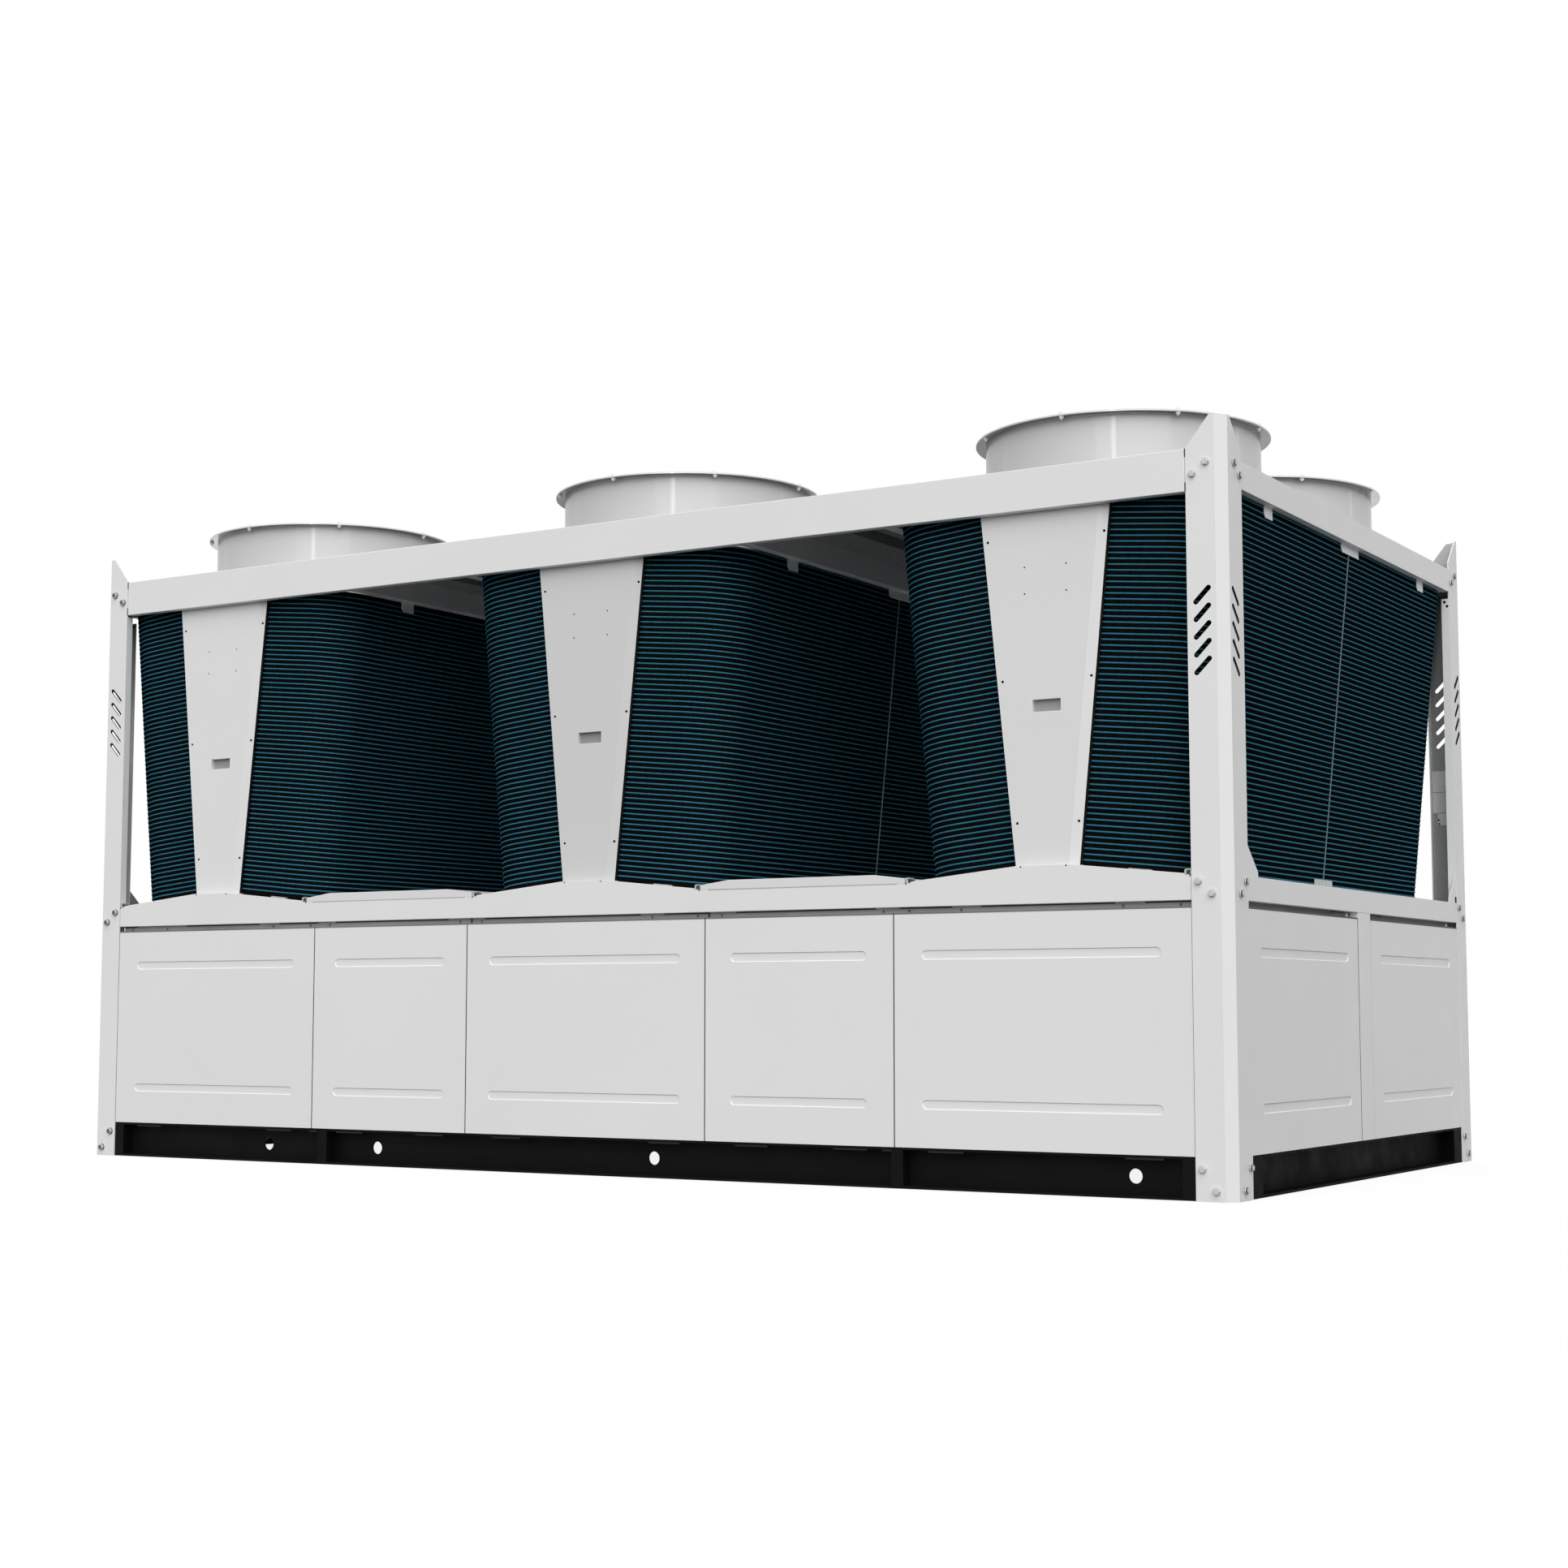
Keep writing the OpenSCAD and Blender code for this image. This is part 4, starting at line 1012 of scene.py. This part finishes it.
def face_frame(origin, along, inward):
    """Frame on a face of a post: X along the face from the corner, Y up and Z inward."""
    turn = Matrix((along, (0.0, 0.0, 1.0), inward)).transposed().to_4x4()
    return UNIT_FRAME @ Matrix.Translation(origin) @ turn


def add_slot_wall_shade(builder, place):
    """A thin closed dark wall round one slot, a painted shade."""
    outer = stadium(SLOT_LENGTH, SLOT_WIDTH)
    inner = stadium(SLOT_LENGTH - 2 * SLOT_SHADE_SHEET, SLOT_WIDTH - 2 * SLOT_SHADE_SHEET)
    rings = []
    for outline, depth in ((outer, 0.0), (outer, POST_SHEET), (inner, POST_SHEET), (inner, 0.0)):
        rings.append([builder.verts.new(place @ Vector((x, y, depth))) for x, y in outline])
    for one, two in zip(rings, rings[1:] + rings[:1]):
        join_rings(builder, one, two)


def slot_wall_shades():
    builder = bmesh.new()
    for end, row in CORNERS:
        to_middle_x = (-end, 0.0, 0.0)
        to_middle_y = (0.0, -row, 0.0)
        for i in range(SLOT_COUNT):
            z = SLOT_LOW + i * SLOT_PITCH
            on_long = (end * (HALF_LENGTH - SLOT_INSET), row * HALF_WIDTH, z)
            on_end = (end * HALF_LENGTH, row * (HALF_WIDTH - SLOT_INSET), z)
            add_slot_wall_shade(builder, face_frame(on_long, to_middle_x, to_middle_y) @ SLOT_TURN)
            add_slot_wall_shade(builder, face_frame(on_end, to_middle_y, to_middle_x) @ SLOT_TURN)
    piece_from(builder, "post_slot_wall_shades", HOLE)


# Plates on the inside of the posts, grey as a painted shade: distances from the corner and heights; the
# lowest one has two screws
INNER_PLATES = (
    ((36.0, 116.0), (1226.0, 1299.0)),
    ((36.0, 116.0), (1301.0, 1376.0)),
    ((36.0, 96.0), (1181.0, 1224.0)),
)
INNER_SHEET = 3.0
INNER_SCREWS = ((93.0, 1201.0), (91.0, 1187.0))
INNER_SCREW = 7.0
# Holes in the end lips of the posts: distance from the corner and height
LIP_HOLES = ((17.0, 1963.0), (8.0, 1948.0))
LIP_HOLE = 10.0
LIP_SHEET = 4.0


def post_plates():
    plates = bmesh.new()
    holes = bmesh.new()
    back = POST_SHEET + INNER_SHEET
    for end, row in CORNERS:
        for insets, heights in INNER_PLATES:
            span = [end * (HALF_LENGTH - inset) for inset in insets]
            add_long_box(plates, row, span, (POST_SHEET, back), heights)
        for inset, z in INNER_SCREWS:
            point = (end * (HALF_LENGTH - inset), row * (HALF_WIDTH - back), z)
            add_disc(holes, facing(point, (0.0, -row, 0.0)), INNER_SCREW)
        for inset, z in LIP_HOLES:
            for side, depth in ((-row, 0.0), (row, LIP_SHEET)):
                point = (end * (HALF_LENGTH - inset), row * (LIP_EDGE + depth), z)
                add_disc(holes, facing(point, (0.0, side, 0.0)), LIP_HOLE)
    piece_from(plates, "post_inner_plates", INNER_PLATE_SHADE)
    piece_from(holes, "post_holes", HOLE)


# Lower ends of the end lips, behind the gussets, and dark notches of painted shade between the rear gussets
# and their posts
LIP_FOOT = (911.0, 1000.0)
LIP_REACH = 28.0
NOTCH_SPAN = (994.0, 1006.5)
NOTCH_RANGE = (MID_TOP, 919.0)


def lip_feet():
    feet = bmesh.new()
    notches = bmesh.new()
    for end, row in CORNERS:
        add_end_box(feet, end, row, (LIP_EDGE, LIP_EDGE + LIP_SHEET), (POST_SHEET, LIP_REACH), LIP_FOOT)
    for end in BOTH:
        add_end_box(notches, end, REAR, NOTCH_SPAN, (POST_SHEET, 0.0), NOTCH_RANGE)
    piece_from(feet, "post_lip_feet", PAINT)
    piece_from(notches, "gusset_notches", HOLE)


# Pressed ribs under the outer roof bays
RIB_SPAN = (838.0, 1010.0)
RIB_Y = 640.0
RIB_WIDTH = 100.0
RIB_DEPTH = 3.0


def deck_ribs():
    builder = bmesh.new()
    outline = stadium(RIB_SPAN[1] - RIB_SPAN[0], RIB_WIDTH)
    middle = sum(RIB_SPAN) / 2
    for end, row in CORNERS:
        place = UNIT_FRAME @ Matrix.Translation((end * middle, row * RIB_Y, DECK_UNDER))
        add_prism(builder, outline, -RIB_DEPTH, 0.0, place)
    piece_from(builder, "deck_ribs", DECK)


# Screw holes of the covers and relief holes of the humps below: diameter, distance from the middle, height
COVER_HOLES = ((8.0, 186.0, 1904.0), (8.0, 141.0, 1485.0), (8.0, 97.0, 1066.0),
               (5.0, 67.0, 1819.0), (5.0, 67.0, 1740.0))
RELIEF_HOLE = (5.0, 72.0, 936.5)


def cover_place(module_x, x, z, row):
    """Frame on the face of a coil cover, on its folded right edge where the point lies there."""
    across = (x - COVER_EDGE) * math.cos(COIL_TILT) - (z - PAN_TOP) * math.sin(COIL_TILT)
    bent = max(0.0, across + COVER_FOLD)
    turn = COVER_FOLD_ANGLE if bent else 0.0
    point = (module_x + x, row * (HALF_WIDTH - COVER_INSET - bent * math.tan(turn)), z)
    lean = math.sin(turn)
    return facing(point, (lean * math.cos(COIL_TILT), row * math.cos(turn), -lean * math.sin(COIL_TILT)))


def cover_holes():
    builder = bmesh.new()
    for row in BOTH:
        for _, module_x in MODULES:
            for side in BOTH:
                for diameter, x, z in COVER_HOLES:
                    add_disc(builder, cover_place(module_x, side * x, z, row), diameter)
                diameter, x, z = RELIEF_HOLE
                place = facing((module_x + side * x, row * HALF_WIDTH, z), (0.0, row, 0.0))
                add_disc(builder, place, diameter)
    piece_from(builder, "cover_screw_holes", HOLE)


# Dark strips that close the folded edge of each coil cover against the coil
EDGE_STRIP = 6.5
EDGE_PROUD = 0.4
EDGE_SUNK = 2.5
EDGE_FOOT = 2.0
EDGE_TUCK = 4.0


def cover_edges():
    builder = bmesh.new()
    over = Vector((0.0, 0.0, EDGE_PROUD))
    under = Vector((0.0, 0.0, -EDGE_SUNK))
    for row in BOTH:
        for _, module_x in MODULES:
            rings = []
            for z in (PAN_TOP + EDGE_FOOT, TOP_BEAM[0] + EDGE_TUCK):
                edge = COVER_EDGE + (z - PAN_TOP) * math.tan(COIL_TILT)
                inner = cover_place(module_x, edge - EDGE_STRIP, z, row)
                outer = cover_place(module_x, edge + EDGE_PROUD, z, row)
                rings.append([inner @ over, outer @ over, outer @ under, inner @ under])
            add_loft(builder, rings)
    piece_from(builder, "cover_edge_strips", HOLE)


# Painted shade: grey sheets at the back of the handle recesses
HANDLE_RISE = 470.0
HANDLE_Z = PAN_TOP + HANDLE_RISE
HANDLE_DEPTH = 14.5
SHADE_SHEET_HALF_WIDTH = 44.5
SHADE_SHEET_HALF_HEIGHT = 17.5
SHADE_SHEET_THICKNESS = 0.8


def handle_shade_sheets():
    builder = bmesh.new()
    back = COVER_INSET + HANDLE_DEPTH
    heights = (HANDLE_Z - SHADE_SHEET_HALF_HEIGHT, HANDLE_Z + SHADE_SHEET_HALF_HEIGHT)
    for row in BOTH:
        for _, module_x in MODULES:
            span = (module_x - SHADE_SHEET_HALF_WIDTH, module_x + SHADE_SHEET_HALF_WIDTH)
            add_long_box(builder, row, span, (back, back - SHADE_SHEET_THICKNESS), heights)
    piece_from(builder, "handle_shade_sheets", HANDLE_SHADE_GREY)


for label, centre in MODULES:
    coil_tubes(label, centre)
seam_strips()
seam_brackets()
pan_lip_ends()
coil_clips()
post_bolts()
cowl_bolts()
recess_strips()
recess_screws()
panel_gap_shade_fillers()
panel_top_shade_bands()
panel_hooks()
joint_lines()
slot_wall_shades()
post_plates()
lip_feet()
deck_ribs()
cover_holes()
cover_edges()
handle_shade_sheets()


# White floor, with its sizes in metres, and strengths of the world's light on the unit and in view
FLOOR_SIZE = 120.0
FLOOR_DROP = 1.5 * MM
FLOOR_TONE = 0.12
FLOOR_GLOW = 0.88
WORLD_LIGHT = 0.25
WORLD_SEEN = 1.0

# Suns: azimuth and elevation in degrees, strength, spread in degrees, and whether the coats mirror them
SUNS = {
    "key": (32.5, 43.0, 3.01, 80.0, True),
    "back": (212.0, 30.0, 1.8, 12.0, False),
}
# Tall studio lamps: azimuth in degrees, width in metres and radiance
STRIP_LIGHTS = {
    "front_strip": (19.5, 1.6, 10.0),
    "left_strip": (-90.0, 3.0, 0.5),
    "right_strip": (130.0, 1.6, 2.0),
}
STRIP_DISTANCE = 27.0
STRIP_HEIGHT = 16.0


def seen_rays(tree):
    """A factor of 1 for camera, glossy and transmission rays."""
    ray = tree.nodes.new("ShaderNodeLightPath")
    result = ray.outputs["Is Camera Ray"]
    for kind in ("Is Glossy Ray", "Is Transmission Ray"):
        larger = tree.nodes.new("ShaderNodeMath")
        larger.operation = "MAXIMUM"
        tree.links.new(result, larger.inputs[0])
        tree.links.new(ray.outputs[kind], larger.inputs[1])
        result = larger.outputs[0]
    return result


def white_floor():
    builder = bmesh.new()
    bmesh.ops.create_grid(builder, x_segments=1, y_segments=1, size=FLOOR_SIZE)
    mesh = bpy.data.meshes.new("floor")
    builder.to_mesh(mesh)
    builder.free()
    floor = bpy.data.objects.new("floor", mesh)
    floor.location.z = -FLOOR_DROP
    bpy.context.scene.collection.objects.link(floor)
    shader = Shader("floor_white")
    shader.set(Base_Color=grey(FLOOR_TONE), Roughness=0.9, Specular_IOR_Level=0.0)
    glow = shader.add("ShaderNodeEmission")
    strength = shader.calculate("MULTIPLY", seen_rays(shader.tree), FLOOR_GLOW)
    shader.link(strength, glow.inputs["Strength"])
    both = shader.add("ShaderNodeAddShader")
    shader.link(shader.bsdf.outputs["BSDF"], both.inputs[0])
    shader.link(glow.outputs["Emission"], both.inputs[1])
    shader.link(both.outputs["Shader"], shader.output.inputs["Surface"])
    mesh.materials.append(shader.material)


def white_world():
    world = bpy.data.worlds.new("white")
    bpy.context.scene.world = world
    world.use_nodes = True
    tree = world.node_tree
    tree.nodes.clear()
    output = tree.nodes.new("ShaderNodeOutputWorld")
    mix = tree.nodes.new("ShaderNodeMixShader")
    tree.links.new(seen_rays(tree), mix.inputs["Fac"])
    for socket, strength in ((1, WORLD_LIGHT), (2, WORLD_SEEN)):
        background = tree.nodes.new("ShaderNodeBackground")
        background.inputs["Color"].default_value = grey(1.0)
        background.inputs["Strength"].default_value = strength
        tree.links.new(background.outputs["Background"], mix.inputs[socket])
    tree.links.new(mix.outputs["Shader"], output.inputs["Surface"])


def direction(azimuth, elevation):
    """Unit vector towards an azimuth, counted from the front towards the right end, and an elevation."""
    turn = math.radians(azimuth)
    rise = math.radians(elevation)
    return Vector((math.sin(turn) * math.cos(rise), -math.cos(turn) * math.cos(rise), math.sin(rise)))


def turned_from(towards):
    """Rotation of a lamp or camera that looks back from a direction."""
    return towards.to_track_quat("Z", "Y").to_euler()


def sun(name, azimuth, elevation, strength, spread, gleams):
    """A far soft lamp; one that does not gleam leaves no bright rim on the far edges."""
    lamp = bpy.data.lights.new(name, "SUN")
    lamp.energy = strength
    lamp.angle = math.radians(spread)
    lit = bpy.data.objects.new(name, lamp)
    lit.rotation_euler = turned_from(direction(azimuth, elevation))
    lit.visible_glossy = gleams
    bpy.context.scene.collection.objects.link(lit)


def strip_light(name, azimuth, width, radiance):
    """A tall narrow studio lamp far from the unit, which draws an upright gleam on round walls."""
    lamp = bpy.data.lights.new(name, "AREA")
    lamp.shape = "RECTANGLE"
    lamp.size = width
    lamp.size_y = STRIP_HEIGHT
    lamp.energy = radiance * math.pi * width * STRIP_HEIGHT
    lit = bpy.data.objects.new(name, lamp)
    towards = direction(azimuth, 0.0)
    lit.location = towards * STRIP_DISTANCE + Vector((0.0, 0.0, STRIP_HEIGHT / 2))
    lit.rotation_euler = turned_from(towards)
    lit.visible_camera = False
    bpy.context.scene.collection.objects.link(lit)


def photo_camera():
    data = bpy.data.cameras.new("camera")
    data.lens = CAMERA_LENS
    data.sensor_width = CAMERA_SENSOR
    data.sensor_fit = "HORIZONTAL"
    data.clip_end = CAMERA_FAR
    camera = bpy.data.objects.new("camera", data)
    camera.location = CAMERA_PLACE
    camera.rotation_euler = turned_from(direction(CAMERA_AZIMUTH, CAMERA_ELEVATION))
    bpy.context.scene.collection.objects.link(camera)
    bpy.context.scene.camera = camera


white_floor()
white_world()
for label, settings in SUNS.items():
    sun(label, *settings)
for label, settings in STRIP_LIGHTS.items():
    strip_light(label, *settings)
photo_camera()
bpy.context.scene.view_settings.view_transform = "Standard"
